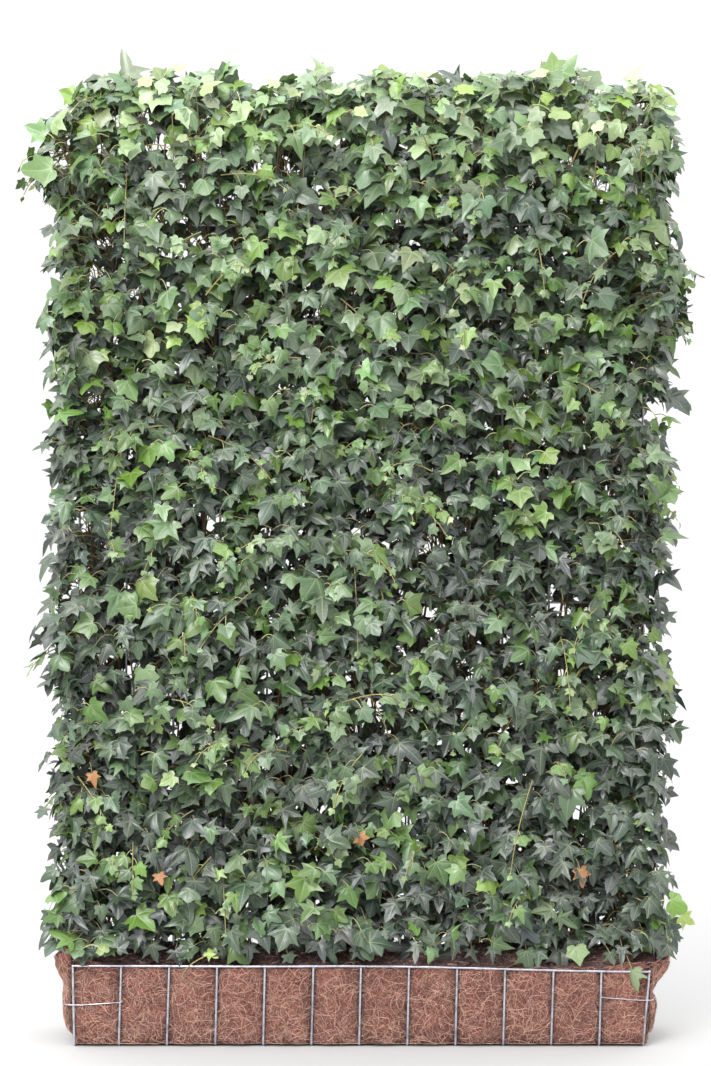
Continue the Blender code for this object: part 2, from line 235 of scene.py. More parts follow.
class Nodes:
    """Short way to write the nodes of a material or of the world."""

    def __init__(self, owner):
        owner.use_nodes = True
        self.owner, self.tree = owner, owner.node_tree

    def put(self, socket, value):
        if isinstance(value, bpy.types.NodeSocket):
            self.tree.links.new(value, socket)
        elif value is not None:
            socket.default_value = value

    def node(self, kind, *values, **settings):
        node = self.tree.nodes.new(kind)
        for key, value in settings.items():
            setattr(node, key, value)
        for socket, value in zip(node.inputs, values):
            self.put(socket, value)
        return node

    def set(self, node, **values):
        for key, value in values.items():
            self.put(node.inputs[key.replace("_", " ")], value)
        return node

    def math(self, operation, a, b=None, c=None):
        return self.node("ShaderNodeMath", a, b, c, operation=operation).outputs[0]

    def times(self, a, b):
        return self.math("MULTIPLY", a, b)

    def scaled(self, value, factor, extra):
        """value times factor, plus extra."""
        return self.math("MULTIPLY_ADD", value, factor, extra)

    def dot(self, a, b):
        return self.node("ShaderNodeVectorMath", a, b, operation="DOT_PRODUCT").outputs["Value"]

    def span(self, value, low, high, to_low=0.0, to_high=1.0):
        node = self.node("ShaderNodeMapRange", value, low, high, to_low, to_high)
        node.interpolation_type = "SMOOTHSTEP"
        return node.outputs[0]

    def noise(self, scale, detail=3.0, roughness=0.55, vector=None):
        vector = self.place() if vector is None else vector
        node = self.node("ShaderNodeTexNoise")
        return self.set(node, Vector=vector, Scale=scale, Detail=detail, Roughness=roughness).outputs["Fac"]

    def cells(self, scale):
        """A random value for each small cell."""
        node = self.set(self.node("ShaderNodeTexVoronoi", feature="F1"), Vector=self.place(), Scale=scale)
        return self.dot(node.outputs["Color"], (0.33, 0.33, 0.34))

    def blend(self, share, a, b, mode="MIX"):
        a, b = (item if isinstance(item, bpy.types.NodeSocket) else (*item, 1.0) for item in (a, b))
        node = self.node("ShaderNodeMix", data_type="RGBA", blend_type=mode)
        return self.set(node, Factor=share, A=a, B=b).outputs["Result"]

    def tint(self):
        node = self.node("ShaderNodeAttribute", attribute_name="tint", attribute_type="GEOMETRY")
        return node.outputs["Color"], node.outputs["Alpha"]

    def place(self):
        return self.node("ShaderNodeTexCoord").outputs["Object"]

    def split(self, vector):
        return self.node("ShaderNodeSeparateXYZ", vector).outputs[:3]

    def join(self, x, y, z=0.0):
        return self.node("ShaderNodeCombineXYZ", x, y, z).outputs[0]

    def bump(self, height, strength, distance):
        node = self.set(self.node("ShaderNodeBump"), Height=height, Strength=strength, Distance=distance)
        return node.outputs["Normal"]

    def finish(self, colour, roughness, **values):
        shader = self.tree.nodes["Principled BSDF"]
        self.set(shader, Base_Color=colour, Roughness=roughness, **values)
        return self.owner


def new_material(name):
    return Nodes(bpy.data.materials.new(name))


# Directions of the three main veins of half a leaf, in degrees from the leaf's side.
VEIN_ANGLES = (2.7, 35.4, 90.0)


def leaf_veins(n):
    """1 on the main veins, 0.35 on the side veins and 0 between them."""
    leaf_map = n.node("ShaderNodeUVMap", uv_map="local")
    u, v, _ = n.split(leaf_map.outputs["UV"])
    u = n.math("ABSOLUTE", u)
    reach = n.math("SQRT", n.math("ADD", n.times(u, u), n.times(v, v)))
    width = n.span(reach, 0.0, 1.0, 0.030, 0.012)
    slant = n.times(n.math("SUBTRACT", v, n.times(u, 0.75)), 7.0)
    side = n.math("ABSOLUTE", n.math("SUBTRACT", n.math("FRACT", slant), 0.5))
    veins = n.times(n.span(side, 0.0, 0.10, 1.0, 0.0), 0.35)
    for angle in np.radians(VEIN_ANGLES):
        offset = n.math("ABSOLUTE", n.dot(n.join(u, v), (math.sin(angle), -math.cos(angle), 0.0)))
        veins = n.math("MAXIMUM", veins, n.span(offset, 0.0, width, 1.0, 0.0))
    return veins


def leaf_material():
    """Satin blade: its tint, pale main and side veins, faint mottling and quilted relief."""
    n = new_material("ivy_blade")
    colour, chance = n.tint()
    veins = leaf_veins(n)
    mottle = n.noise(160.0, 2.0)
    darker = n.blend(1.0, colour, (0.62, 0.70, 0.62), "MULTIPLY")
    base = n.blend(n.span(mottle, 0.3, 0.7, 0.0, 0.35), colour, darker)
    pale = n.blend(0.55, colour, (0.38, 0.50, 0.26))
    base = n.blend(n.times(veins, n.scaled(chance, 0.45, 0.35)), base, pale)
    height = n.math("SUBTRACT", n.times(mottle, 0.3), veins)
    rough = n.scaled(mottle, 0.16, n.scaled(chance, 0.10, 0.30))
    return n.finish(base, rough, Normal=n.bump(height, 0.35, 0.0006),
                    Specular_IOR_Level=0.8, Coat_Weight=0.25, Coat_Roughness=0.28)


def grained_material(name, grain, dark, share, rough, relief, depth, rough_change=0.0):
    """The piece's tint with fine dark grain, given by its scale and detail."""
    n = new_material(name)
    grain = n.noise(*grain)
    base = n.blend(n.span(grain, 0.35, 0.7, 0.0, share), n.tint()[0], dark)
    return n.finish(base, n.scaled(grain, rough_change, rough), Normal=n.bump(grain, relief, depth))


def bark_material():
    """Brown bark with dark furrows and fine light flakes."""
    n = new_material("ivy_bark_detail")
    colour, _ = n.tint()
    coarse, fine = n.noise(190.0, 4.0, 0.65), n.noise(700.0, 3.0, 0.6)
    darker = n.blend(1.0, colour, (0.35, 0.30, 0.28), "MULTIPLY")
    base = n.blend(n.span(coarse, 0.35, 0.68, 0.0, 0.75), colour, darker)
    base = n.blend(n.span(fine, 0.5, 0.75, 0.0, 0.35), base, (0.45, 0.36, 0.27))
    return n.finish(base, 0.82, Normal=n.bump(n.scaled(fine, 0.5, coarse), 0.8, 0.0015))


def steel_material():
    """Galvanised wire: zinc spangle, dull grey patches and fine grain."""
    n = new_material("galvanised_wire")
    spangle, cloud, grain = n.cells(380.0), n.noise(45.0, 4.0), n.noise(900.0, 2.0)
    base = n.blend(spangle, (0.46, 0.46, 0.53), (0.86, 0.86, 0.95))
    base = n.blend(n.span(cloud, 0.45, 0.75, 0.0, 0.6), base, (0.20, 0.19, 0.24))
    rough = n.scaled(cloud, 0.28, n.scaled(spangle, 0.12, 0.14))
    height = n.scaled(grain, 0.4, n.times(cloud, 0.6))
    return n.finish(base, rough, Normal=n.bump(height, 0.25, 0.0006), Metallic=1.0)


def coir_material():
    """Matted coconut fibre: crossing streaks whose darkest parts are painted shade in the hollows between
    fibres, light strands, painted shade beside the wires and darker towards the bottom.
    """
    n = new_material("coir_mat")
    x, y, z = n.split(n.place())
    swirl = n.times(n.noise(26.0, 3.0), 0.10)
    along = n.join(n.times(n.math("ADD", x, swirl), 4.0), n.times(y, 4.0), n.math("SUBTRACT", z, swirl))
    upward = n.join(n.math("SUBTRACT", x, swirl), y, n.times(n.math("ADD", z, swirl), 4.0))
    streaks = n.math("ADD", n.noise(210.0, 4.0, 0.7, along), n.noise(190.0, 4.0, 0.7, upward))
    strands = n.times(streaks, 0.5)
    patch = n.noise(14.0, 3.0)
    # The dark end of the streaks is painted shade in the hollows between the fibres.
    base = n.blend(n.span(strands, 0.40, 0.60), (0.048, 0.016, 0.013), (0.520, 0.205, 0.155))
    base = n.blend(n.span(strands, 0.56, 0.72, 0.0, 0.7), base, (0.800, 0.400, 0.300))
    base = n.blend(n.span(patch, 0.38, 0.66, 0.0, 0.55), base, (0.120, 0.042, 0.034))
    # Painted shade: a dark band beside each upright wire, leaning with the uprights, and a darker painted
    # shadow right where the wire lies.
    lean = n.span(z, 0.0, float(RIM), 0.0045, 0.0)
    across = n.math("ADD", n.math("SUBTRACT", x, float(UPRIGHTS[0])), lean)
    across = n.math("FRACT", n.math("DIVIDE", across, float(PITCH)))
    across = n.math("ABSOLUTE", n.math("SUBTRACT", across, 0.5))
    beside = n.times(n.span(across, 0.36, 0.47), n.span(patch, 0.30, 0.60, 0.35, 0.95))
    base = n.blend(beside, base, (0.045, 0.020, 0.022))
    base = n.blend(n.span(across, 0.445, 0.475), base, (0.020, 0.010, 0.012))
    base = n.blend(n.span(z, 0.0, 0.040, 0.75, 0.0), base, (0.040, 0.018, 0.018))
    return n.finish(base, 0.9, Normal=n.bump(strands, 1.0, 0.0035))


def soil_material():
    """Moist potting mix: dark crumbs with paler specks and clumps."""
    n = new_material("potting_mix")
    crumb, clump = n.noise(330.0, 5.0, 0.7), n.noise(60.0, 4.0, 0.6)
    base = n.blend(n.span(crumb, 0.35, 0.65), (0.048, 0.026, 0.027), (0.250, 0.150, 0.142))
    base = n.blend(n.span(n.cells(420.0), 0.66, 0.76, 0.0, 0.7), base, (0.38, 0.24, 0.21))
    base = n.blend(n.span(clump, 0.4, 0.7, 0.0, 0.5), base, (0.080, 0.047, 0.042))
    return n.finish(base, 0.93, Normal=n.bump(n.scaled(crumb, 0.6, clump), 1.0, 0.004))


# ---------------------------------------------------------------- ivy leaf blades

# Half outlines of a deeply lobed and of a nearly whole leaf: (across, along) from the stalk, unit length.
DEEP_LEAF = np.array([
    (0.15, -0.15), (0.33, -0.20), (0.53, -0.12), (0.30, 0.09), (0.45, 0.25), (0.70, 0.45),
    (0.36, 0.40), (0.18, 0.40), (0.19, 0.62), (0.11, 0.84), (0.00, 1.06)])
WHOLE_LEAF = np.array([
    (0.16, -0.13), (0.36, -0.12), (0.50, 0.00), (0.49, 0.15), (0.55, 0.28), (0.63, 0.42),
    (0.49, 0.49), (0.35, 0.56), (0.29, 0.69), (0.16, 0.85), (0.00, 1.00)])
VEIN_RAYS = (2, 5, 10)
BLADE_RINGS = np.array([0.45, 0.80, 1.0])


def full_outline(half):
    return np.concatenate([half, half[-2::-1] * np.array([-1.0, 1.0])])


def ray_puff():
    """For each ray of the blade, 0 on a main vein and 1 midway between two."""
    puff = np.array([min(abs(i - ray) for ray in VEIN_RAYS) for i in range(len(DEEP_LEAF))])
    puff = np.minimum(puff / 1.5, 1.0)
    return np.concatenate([puff, puff[-2::-1]])


def blade_shapes(count, lobing):
    """Plan (blades, rings, rays, 2) and rise of folded and curled blades of unit size."""
    outline = mix(full_outline(WHOLE_LEAF)[None], full_outline(DEEP_LEAF)[None], lobing[:, None, None])
    rays = outline.shape[1]
    outline = outline * (1 + rng.normal(0, 0.035, (count, rays, 1)))
    outline[..., 0] *= rng.normal(0.99, 0.08, (count, 1))
    lengthen = rng.normal(-0.04, 0.10, (count, 1))
    outline[..., 1] *= 1 + lengthen * smooth((outline[..., 1] - 0.4) / 0.6)
    plan = outline[:, None] * BLADE_RINGS[None, :, None, None]
    u, v = plan[..., 0], plan[..., 1]
    ring = BLADE_RINGS[None, :, None]

    def draw(mean, spread):
        return rng.normal(mean, spread, (count, 1, 1))

    rise = draw(0.16, 0.22) * np.abs(u) - draw(0.18, 0.22) * v * np.abs(v) - draw(0.35, 0.30) * u * u
    rise += draw(0.045, 0.015) * ray_puff() * ring * (1.25 - ring) * 2
    wave = rng.uniform(0, 2 * np.pi, (count, 1, 1)) + np.arange(rays) * rng.uniform(0.6, 1.2, (count, 1, 1))
    rise += draw(0.030, 0.018) * np.sin(wave) * ring ** 2
    rise += draw(0.0, 0.35) * u * v
    return plan, rise


def add_blades(work, base, tip, normal, size, tints, lobing, band=(0.0, 0.84), slot=0):
    """Lobed blades. base is where the stalk joins, and tip is the way the blade points."""
    count = len(base)
    normal = unit(normal)
    tip = unit(tip - normal * (tip * normal).sum(-1, keepdims=True))
    axes = np.stack([np.cross(tip, normal), tip, normal], axis=1)
    plan, rise = blade_shapes(count, lobing)
    rays = plan.shape[2]
    shape = np.concatenate([plan, rise[..., None]], -1).reshape(count, -1, 3)
    shape = np.concatenate([np.zeros((count, 1, 3)), shape], axis=1)
    points = base[:, None] + np.einsum("nki,nij->nkj", shape, axes) * size[:, None, None]
    plain = (full_outline(DEEP_LEAF)[None] * BLADE_RINGS[:, None, None]).reshape(-1, 2)
    local = np.broadcast_to(np.concatenate([[[0.0, 0.0]], plain]), (*shape.shape[:2], 2))
    tints = np.broadcast_to(tints[:, None], (*shape.shape[:2], 4))
    first = 1 + np.arange(rays - 1)
    fan = np.stack([np.zeros_like(first), first, first + 1], -1)
    quads = 1 + grid_faces(len(BLADE_RINGS), rays)[0][:, [0, 3, 2, 1]]
    corner, cell = atlas_cells(count, *band)
    spot = corner[:, None] + (shape[..., :2] + [0.80, 0.30]) / 1.60 * cell
    shift = (np.arange(count) * shape.shape[1])[:, None, None]
    work.add(points, fan[None] + shift, spot[:, fan], tints, local, slot)
    work.add_faces(quads[None] + shift, spot[:, quads], slot)


# Blade colours from old and shaded to young, as linear colour.
AGE_STEPS = np.array([0.0, 0.18, 0.36, 0.55, 0.74, 0.90, 1.0])
AGE_COLOURS = np.array([
    (0.030, 0.046, 0.028), (0.031, 0.056, 0.031), (0.038, 0.078, 0.036), (0.072, 0.138, 0.054),
    (0.145, 0.236, 0.098), (0.270, 0.370, 0.165), (0.430, 0.520, 0.250)])
# SLATE is the grey of old leaves; the second colour is the pale grey of bloom and of painted sheen.
SLATE, BLOOM_AND_SHEEN_GREY = (0.040, 0.045, 0.056), (0.40, 0.48, 0.35)
RICH, LIME = (0.055, 0.140, 0.020), (0.180, 0.300, 0.024)
OLD_STALK, NEW_STALK = (0.30, 0.27, 0.13), (0.66, 0.72, 0.34)


def age_tint(young, height):
    """Blade tint with a greyish bloom, partly painted sheen. Towards the top the pale grey grows, as painted
    sheen, and the tint is paler, as painted light.
    """
    count = len(young)
    colour = np.stack([np.interp(young, AGE_STEPS, channel) for channel in AGE_COLOURS.T], -1)
    slate = rng.beta(0.8, 1.3, count) * (1 - smooth((young - 0.10) / 0.35))
    colour = mix(colour, SLATE, slate[:, None])
    vivid = rng.random(count) < 0.08 + 0.30 * smooth((young - 0.15) / 0.35)
    vivid = vivid * rng.uniform(0.3, 1.0, count)
    fresh = mix(RICH, LIME, (young * rng.uniform(0.6, 1.3, count))[:, None])
    colour = mix(colour, fresh, vivid[:, None])
    # A pale grey on random leaves, partly bloom and partly painted sheen, with more painted sheen towards
    # the top.
    bloom_and_sheen_share = 0.14 + 0.24 * smooth((height - 1.0) / 0.9) + 0.30 * smooth((height - 1.86) / 0.08)
    bloom_and_painted_sheen = rng.beta(1.0, 2.6, count) * bloom_and_sheen_share * (1 - vivid)
    colour = mix(colour, BLOOM_AND_SHEEN_GREY, bloom_and_painted_sheen[:, None])
    # Painted light: the tint is brighter towards the top and a little darker from 0.3 m up.
    sunlit = 1 - 0.07 * smooth((height - 0.30) / 0.15) + 0.16 * smooth((height - 1.76) / 0.16)
    sunlit += 0.14 * smooth((height - 1.90) / 0.08)
    colour *= rng.normal(1.0, 0.18, (count, 1)) * rng.normal(1.0, 0.05, (count, 3)) * sunlit[:, None]
    return with_chance(np.clip(colour, 0.01, 0.9))


def stalk_tint(young):
    colour = mix(OLD_STALK, NEW_STALK, np.clip(young, 0, 1)[:, None] ** 0.8)
    return with_chance(np.clip(colour * rng.normal(1.0, 0.15, (len(young), 1)), 0.02, 0.9))


# ---------------------------------------------------------------- shape of the hedge

# Bulges (more than 0) and hollows of the two ends: height, reach and half height.
LEFT_BULGES = ((1.88, 0.060, 0.10), (1.94, -0.020, 0.04), (1.835, 0.016, 0.03), (1.67, 0.030, 0.035),
               (1.59, -0.020, 0.035), (1.52, 0.040, 0.07), (1.42, -0.022, 0.04), (1.27, 0.030, 0.05),
               (1.17, -0.022, 0.04), (0.85, 0.035, 0.09), (0.54, 0.020, 0.06), (0.26, 0.020, 0.05))
RIGHT_BULGES = ((1.92, 0.015, 0.10), (1.84, 0.022, 0.04), (1.60, 0.062, 0.09), (1.51, 0.033, 0.035),
                (1.26, -0.022, 0.05), (1.18, 0.015, 0.07), (0.92, -0.034, 0.10), (0.70, 0.035, 0.06),
                (0.43, -0.034, 0.04), (0.26, 0.008, 0.06))
# Bulges and hollows of the top edge: across, height and half width.
TOP_BULGES = ((-0.355, 0.022, 0.100), (-0.210, -0.026, 0.035), (-0.096, 0.024, 0.040),
              (-0.019, -0.036, 0.045), (0.100, -0.014, 0.040), (0.428, 0.040, 0.060),
              (0.500, -0.028, 0.035), (0.618, -0.036, 0.035))
EVEN_SIDE = 0.634
EVEN_TOP = 2.008
LEAF_FLOOR = SOIL_TOP + 0.036


def end_reach(z, bulges):
    return EVEN_SIDE + bumps(z, bulges)


def top_height(x):
    """Height that leaf stalks reach: an uneven top with rounded corners."""
    waves = 0.010 * np.sin(9.0 * x + 1.0) + 0.009 * np.sin(23.0 * x) + 0.008 * np.sin(57.0 * x + 0.5)
    corners = 0.105 * smooth((-x - 0.52) / 0.18) + 0.045 * smooth((x - 0.60) / 0.10)
    return EVEN_TOP + waves - corners + bumps(x, TOP_BULGES)


def crown_share(x, z):
    """0 in the wall of leaves and 1 at the top of the hedge."""
    return smooth((z - top_height(x) + 0.13) / 0.12)


def outward(x, z, side):
    """Way out of the leaf mass at a point: to the face, and towards the top or an end near those."""
    ends = smooth((np.abs(x) - 0.56) / 0.09)
    crown = crown_share(x, z)
    way = [np.sign(x) * ends * 0.95, side * (1 - 0.30 * crown) * (1 - 0.35 * ends), 0.12 + 0.42 * crown]
    return unit(np.stack(way, -1)), crown, ends


def soft_limit(points):
    """Keeps leaf points inside the leaf mass's thickness without flattening it."""
    y = points[..., 1]
    room = LEAF_SIDE_LIMIT - LEAF_SIDE_SOFT
    over = np.maximum(np.abs(y) - LEAF_SIDE_SOFT, 0.0)
    points[..., 1] = np.sign(y) * (np.minimum(np.abs(y), LEAF_SIDE_SOFT) + room * np.tanh(over / room))
    return points


def plant_of(x):
    return np.clip(((x - UPRIGHTS[0]) / PITCH).astype(int), 0, CELLS - 1)


# ---------------------------------------------------------------- stems

STEM_RINGS = 44
FORK_TOP = SOIL_TOP + 0.060


def cad_shoot(plant, side):
    """Centres of the rings of one CAD shoot, from the fork up."""
    points = node_points(f"ivy_stem_{plant + 1:02d}")
    points = points[(points[:, 1] * side > 0.0005) & (points[:, 2] > FORK_TOP)]
    levels = np.round(points[:, 2], 3)
    rings = [points[levels == z] for z in np.unique(levels)]
    return np.array([(ring.min(axis=0) + ring.max(axis=0)) / 2 for ring in rings])


def at_height(path, z):
    """Across and depth of a path at a height."""
    return np.interp(z, path[:, 2], path[:, 0]), np.interp(z, path[:, 2], path[:, 1])


def main_shoot(x0, centres):
    """The plant's CAD shoot, smoothed and a little wavy."""
    foot = np.array([[x0, 0.0, SOIL_TOP - 0.03], [x0, 0.0, SOIL_TOP + 0.022]])
    knots = np.concatenate([foot, centres])
    z = np.linspace(knots[0, 2], knots[-1, 2], STEM_RINGS)
    phase, _ = rng.uniform(0, 2 * np.pi, 2)
    x, y = at_height(knots, z)
    return np.stack([x + 0.0018 * np.sin(31 * z + phase), y, z], -1)


def side_shoot(x0, side, lean):
    """A thinner shoot beside the main one, which leans to one side."""
    z = np.linspace(SOIL_TOP - 0.02, rng.uniform(1.62, 1.93), STEM_RINGS)
    up = smooth((z - SOIL_TOP) / 0.25)

    def wave(low, high):
        return np.sin(rng.uniform(low, high) * z + rng.uniform(0, 6.3))

    wander = 0.012 * wave(4, 8) + 0.004 * np.sin(26 * z + rng.uniform(0, 6.3))
    x = x0 + lean * (0.012 + 0.018 * up) + wander * up
    return np.stack([x, side * (0.003 + (0.013 + 0.006 * wave(6, 11)) * up), z], -1)


def stem_paths():
    """For each plant and face: woody shoots, as a path with its radius at the foot and at the top."""
    paths = {}
    for plant in range(CELLS):
        x0 = (UPRIGHTS[plant] + UPRIGHTS[plant + 1]) / 2
        for side in (FRONT, BACK):
            paths[plant, side] = [(main_shoot(x0, cad_shoot(plant, side)), 0.0034, 0.0016)]
            for lean in (-1, 1):
                paths[plant, side].append((side_shoot(x0, side, lean), rng.uniform(0.0020, 0.0027), 0.0010))
    return paths


def bark_tint(count, share):
    """Brown at the foot, warmer and greener further up."""
    colour = mix((0.17, 0.095, 0.06), (0.33, 0.23, 0.11), share[..., None])
    colour = colour * rng.normal(1.0, 0.12, (count, 1, 1))
    return np.concatenate([colour, np.full((*colour.shape[:2], 1), 0.5)], axis=-1)


# ---------------------------------------------------------------- growing the leaves

TWIG_STEP = 0.0385
END_STEP = 0.040
TWIG_RINGS = 7
STALK_RINGS = 5
LEAF_SIZE = (0.0405, 0.0085)
# Youth of the plants with height, highest along the top: the height where it starts, its span and its gain.
HEIGHT_YOUTH = ((0.4, 0.4, 0.05), (1.0, 0.6, 0.18), (1.80, 0.16, 0.48))
# Patches of younger (more than 0) or older growth on the front: across, height, radius and change.
PATCHES = ((0.53, 0.80, 0.10, 0.26), (0.31, 1.16, 0.10, 0.22), (-0.27, 1.54, 0.16, 0.16),
           (-0.46, 1.38, 0.13, 0.10), (-0.20, 0.33, 0.14, 0.14), (0.02, 0.56, 0.08, 0.12),
           (0.12, 1.07, 0.13, -0.14), (0.34, 0.92, 0.16, -0.12), (-0.16, 1.30, 0.09, -0.10),
           (0.42, 0.38, 0.18, -0.14), (-0.50, 0.98, 0.12, -0.10), (0.22, 1.72, 0.14, -0.10))
# Small openings right through the leaves, as seen from the front: across and height.
GAPS = ((-0.318, 1.076), (-0.011, 1.066), (0.152, 1.045), (0.142, 0.894), (0.541, 1.047), (0.415, 0.903),
        (-0.479, 0.776), (-0.530, 0.800), (0.025, 0.714), (0.442, 0.491), (-0.552, 1.339), (-0.572, 1.080),
        (-0.624, 1.826), (-0.541, 1.857), (-0.440, 1.862), (0.592, 1.300), (-0.590, 0.950),
        (-0.448, 1.930), (-0.506, 1.914), (-0.407, 1.870), (-0.330, 1.842), (-0.222, 1.819),
        (-0.155, 1.817), (-0.051, 1.872), (-0.603, 1.879), (-0.418, 1.724), (-0.351, 1.662),
        (-0.534, 1.669), (-0.550, 1.602))
GAP_HALF_WIDTH = 0.009


def height_youth(z):
    return 0.06 + sum(gain * smooth((z - start) / span) for start, span, gain in HEIGHT_YOUTH)


def patch_youth(x, z, side):
    spots = [(change, (x - at_x) ** 2 + (z - at_z) ** 2, radius) for at_x, at_z, radius, change in PATCHES]
    youth = sum(change * np.exp(-away / radius ** 2) for change, away, radius in spots)
    return youth if side == FRONT else -0.6 * youth[::-1]


def clear_of_gaps(points, size):
    """True for the leaves that leave every opening free."""
    clear = np.ones(len(points), dtype=bool)
    slant = (points[:, 1] - BASKET[0, 1]) / VIEW_DISTANCE
    for x, z in GAPS:
        at_x = x + (x - VIEW_SIDE) * slant
        at_z = z + (z - VIEW_HEIGHT) * slant
        distance = np.hypot(points[:, 0] - at_x, points[:, 2] - at_z)
        clear &= distance > GAP_HALF_WIDTH + size * 0.38
    return clear


def inner_painted_shade(points, crown):
    """1 for a leaf deep inside the hedge, where it gets painted shade, and 0 for an outer one."""
    deep = 1 - smooth((np.abs(points[:, 1]) - 0.025) / 0.065)
    return deep * (1 - crown) * (1 - smooth((np.abs(points[:, 0]) - 0.57) / 0.05))


def blade_frames(way, out, crown, low_share, count):
    """Tip direction and normal of each blade: it faces out and up, and its tip hangs."""
    hang = (0.75 * (1 - 0.95 * crown) * low_share)[:, None]
    tip = way * rng.uniform(0.3, 0.9, (count, 1)) - UP * hang
    tip = tip + rng.normal(0, 0.42, (count, 3)) * [1.2, 0.5, 0.7]
    tip += UP * (0.45 * crown + 0.25 * (1 - low_share))[:, None]
    face_up = rng.uniform(0.05, 0.95, (count, 1)) * (1 - 0.5 * crown)[:, None]
    return tip, out * 0.9 + UP * face_up + rng.normal(0, 0.42, (count, 3)) * [1.0, 0.4, 0.7]


class Foliage:
    """Blades, stalks and twigs of every plant, gathered before they are split into pieces."""

    def __init__(self):
        self.blades, self.stalks, self.twigs = [], [], []

    def add_leaves(self, start, way, length, out, crown, size, young):
        """Leaves whose stalks leave start in the direction way."""
        count = len(start)
        end = start + way * length[:, None] - UP * (length * rng.uniform(0.0, 0.30, count))[:, None]
        bow = start + way * length[:, None] * 0.55 + UP * (length * 0.22)[:, None]
        end = soft_limit(end)
        end[:, 2] = np.minimum(end[:, 2], top_height(end[:, 0]) + 0.030 - 0.5 * size)
        low_share = smooth((end[:, 2] - SOIL_TOP - 0.02) / 0.06)
        tip, normal = blade_frames(way, out, crown, low_share, count)
        tint, stalk = age_tint(young, end[:, 2]), stalk_tint(young)
        # Painted shade: leaves deep inside the hedge are darkened.
        tint[:, :3] *= 1 - 0.55 * inner_painted_shade(end, crown)[:, None]
        clear = clear_of_gaps(end + unit(tip) * (size * 0.40)[:, None], size)
        lobing = np.clip(0.86 - 0.90 * young + rng.normal(0, 0.26, count), 0.0, 1.15)
        self.blades.append([row[clear] for row in (end, tip, normal, size, tint, lobing)])
        radius = 0.00060 + 0.010 * size
        self.stalks.append([row[clear] for row in (start, mix(start, bow, 0.6), bow, end, radius, stalk)])

    def add_leaf(self, base, tip, normal, size, tint, root, lobing=0.6):
        """One leaf placed by itself, with its stalk from root."""
        base, root = np.array([base]), np.array([root])
        leaf = [tip], [normal], [size], [[*tint, 0.5]], [lobing]
        self.blades.append([base, *map(np.array, leaf)])
        bow = mix(root, base, 0.6) + UP * 0.012
        pale = np.array([[0.50, 0.52, 0.24, 0.5]])
        self.stalks.append([root, mix(root, bow, 0.5), bow, base, np.array([0.0010]), pale])

    def add_twigs(self, curve, radius, young):
        self.twigs.append((*curve, np.broadcast_to(radius, len(curve[0])), young))

    def gathered(self, name):
        return [np.concatenate(column) for column in zip(*getattr(self, name))]


def scatter_twigs(side):
    """Tips of side twigs, spread evenly over one face with uneven depth."""
    rows, columns = np.arange(LEAF_FLOOR, 2.06, TWIG_STEP), np.arange(-0.74, 0.74, TWIG_STEP)
    z, x = np.meshgrid(rows, columns, indexing="ij")
    tips = np.stack([x.ravel(), z.ravel()], -1)
    tips += rng.uniform(-0.5, 0.5, tips.shape) * TWIG_STEP
    x, z = tips.T
    inside = (x > -end_reach(z, LEFT_BULGES) + 0.02) & (x < end_reach(z, RIGHT_BULGES) - 0.02)
    inside &= z < top_height(x)
    x, z = x[inside], z[inside]
    near_end = smooth((np.abs(x) - 0.60) / 0.10)
    near_top = smooth((z - top_height(x) + 0.08) / 0.08)
    deep = 0.122 * (1 - 0.45 * near_end) * (1 - 0.30 * near_top)
    deep += 0.010 * np.sin(14 * x + 3 * side) * np.sin(9 * z)
    depth = deep * rng.beta(2.0, 1.15, len(x))
    return np.stack([x, side * np.maximum(depth, 0.012), z], -1)


def twig_roots(paths, tips, plants):
    """Where each twig leaves a woody shoot, a little below its tip."""
    roots = []
    for tip, plant in zip(tips, plants):
        shoot = paths[plant, FRONT if tip[1] < 0 else BACK][rng.integers(3)][0]
        z = np.clip(tip[2] - rng.uniform(0.02, 0.09), SOIL_TOP + 0.01, shoot[-1, 2])
        roots.append((*at_height(shoot, z), z))
    return np.array(roots)


def grow_twigs(paths, side):
    """Curved side twigs from the woody shoots to the scattered tips."""
    tips = scatter_twigs(side)
    count = len(tips)
    roots = twig_roots(paths, tips, plant_of(tips[:, 0]))
    reach = np.linalg.norm(tips - roots, axis=1, keepdims=True)
    first = roots + np.array([0.0, side * 0.8, 0.6]) * reach * rng.uniform(0.25, 0.45, (count, 1))
    second = tips + (UP * rng.uniform(0.0, 0.35, (count, 1)) - (tips - roots) / reach * 0.3) * reach
    return roots, first, second, tips


def leaves_on_twigs(curve, side, places):
    """Stalks at the given shares of each twig's length, to the left and to the right in turn."""
    stalks = []
    flip = None
    count = len(curve[0])
    for place in places:
        t = np.clip(place + rng.normal(0, 0.06, count), 0.15, 1.0)
        start = on_curve(*curve, t[:, None])
        out, crown, ends = outward(start[:, 0], start[:, 2], side)
        flip = np.where(rng.random(count) < 0.5, -1.0, 1.0) if flip is None else -flip
        sideways = (flip * rng.uniform(0.2, 1.1, count))[:, None] * [1.0, 0.0, 0.0]
        lift = rng.normal(0.20, 0.45, count)
        way = unit(out * rng.uniform(0.35, 1.1, (count, 1)) + sideways + UP * lift[:, None])
        stalks.append((start, way, bounded(0.030, 0.011, 0.010, 0.055, count), out, crown, ends, t))
    return stalks


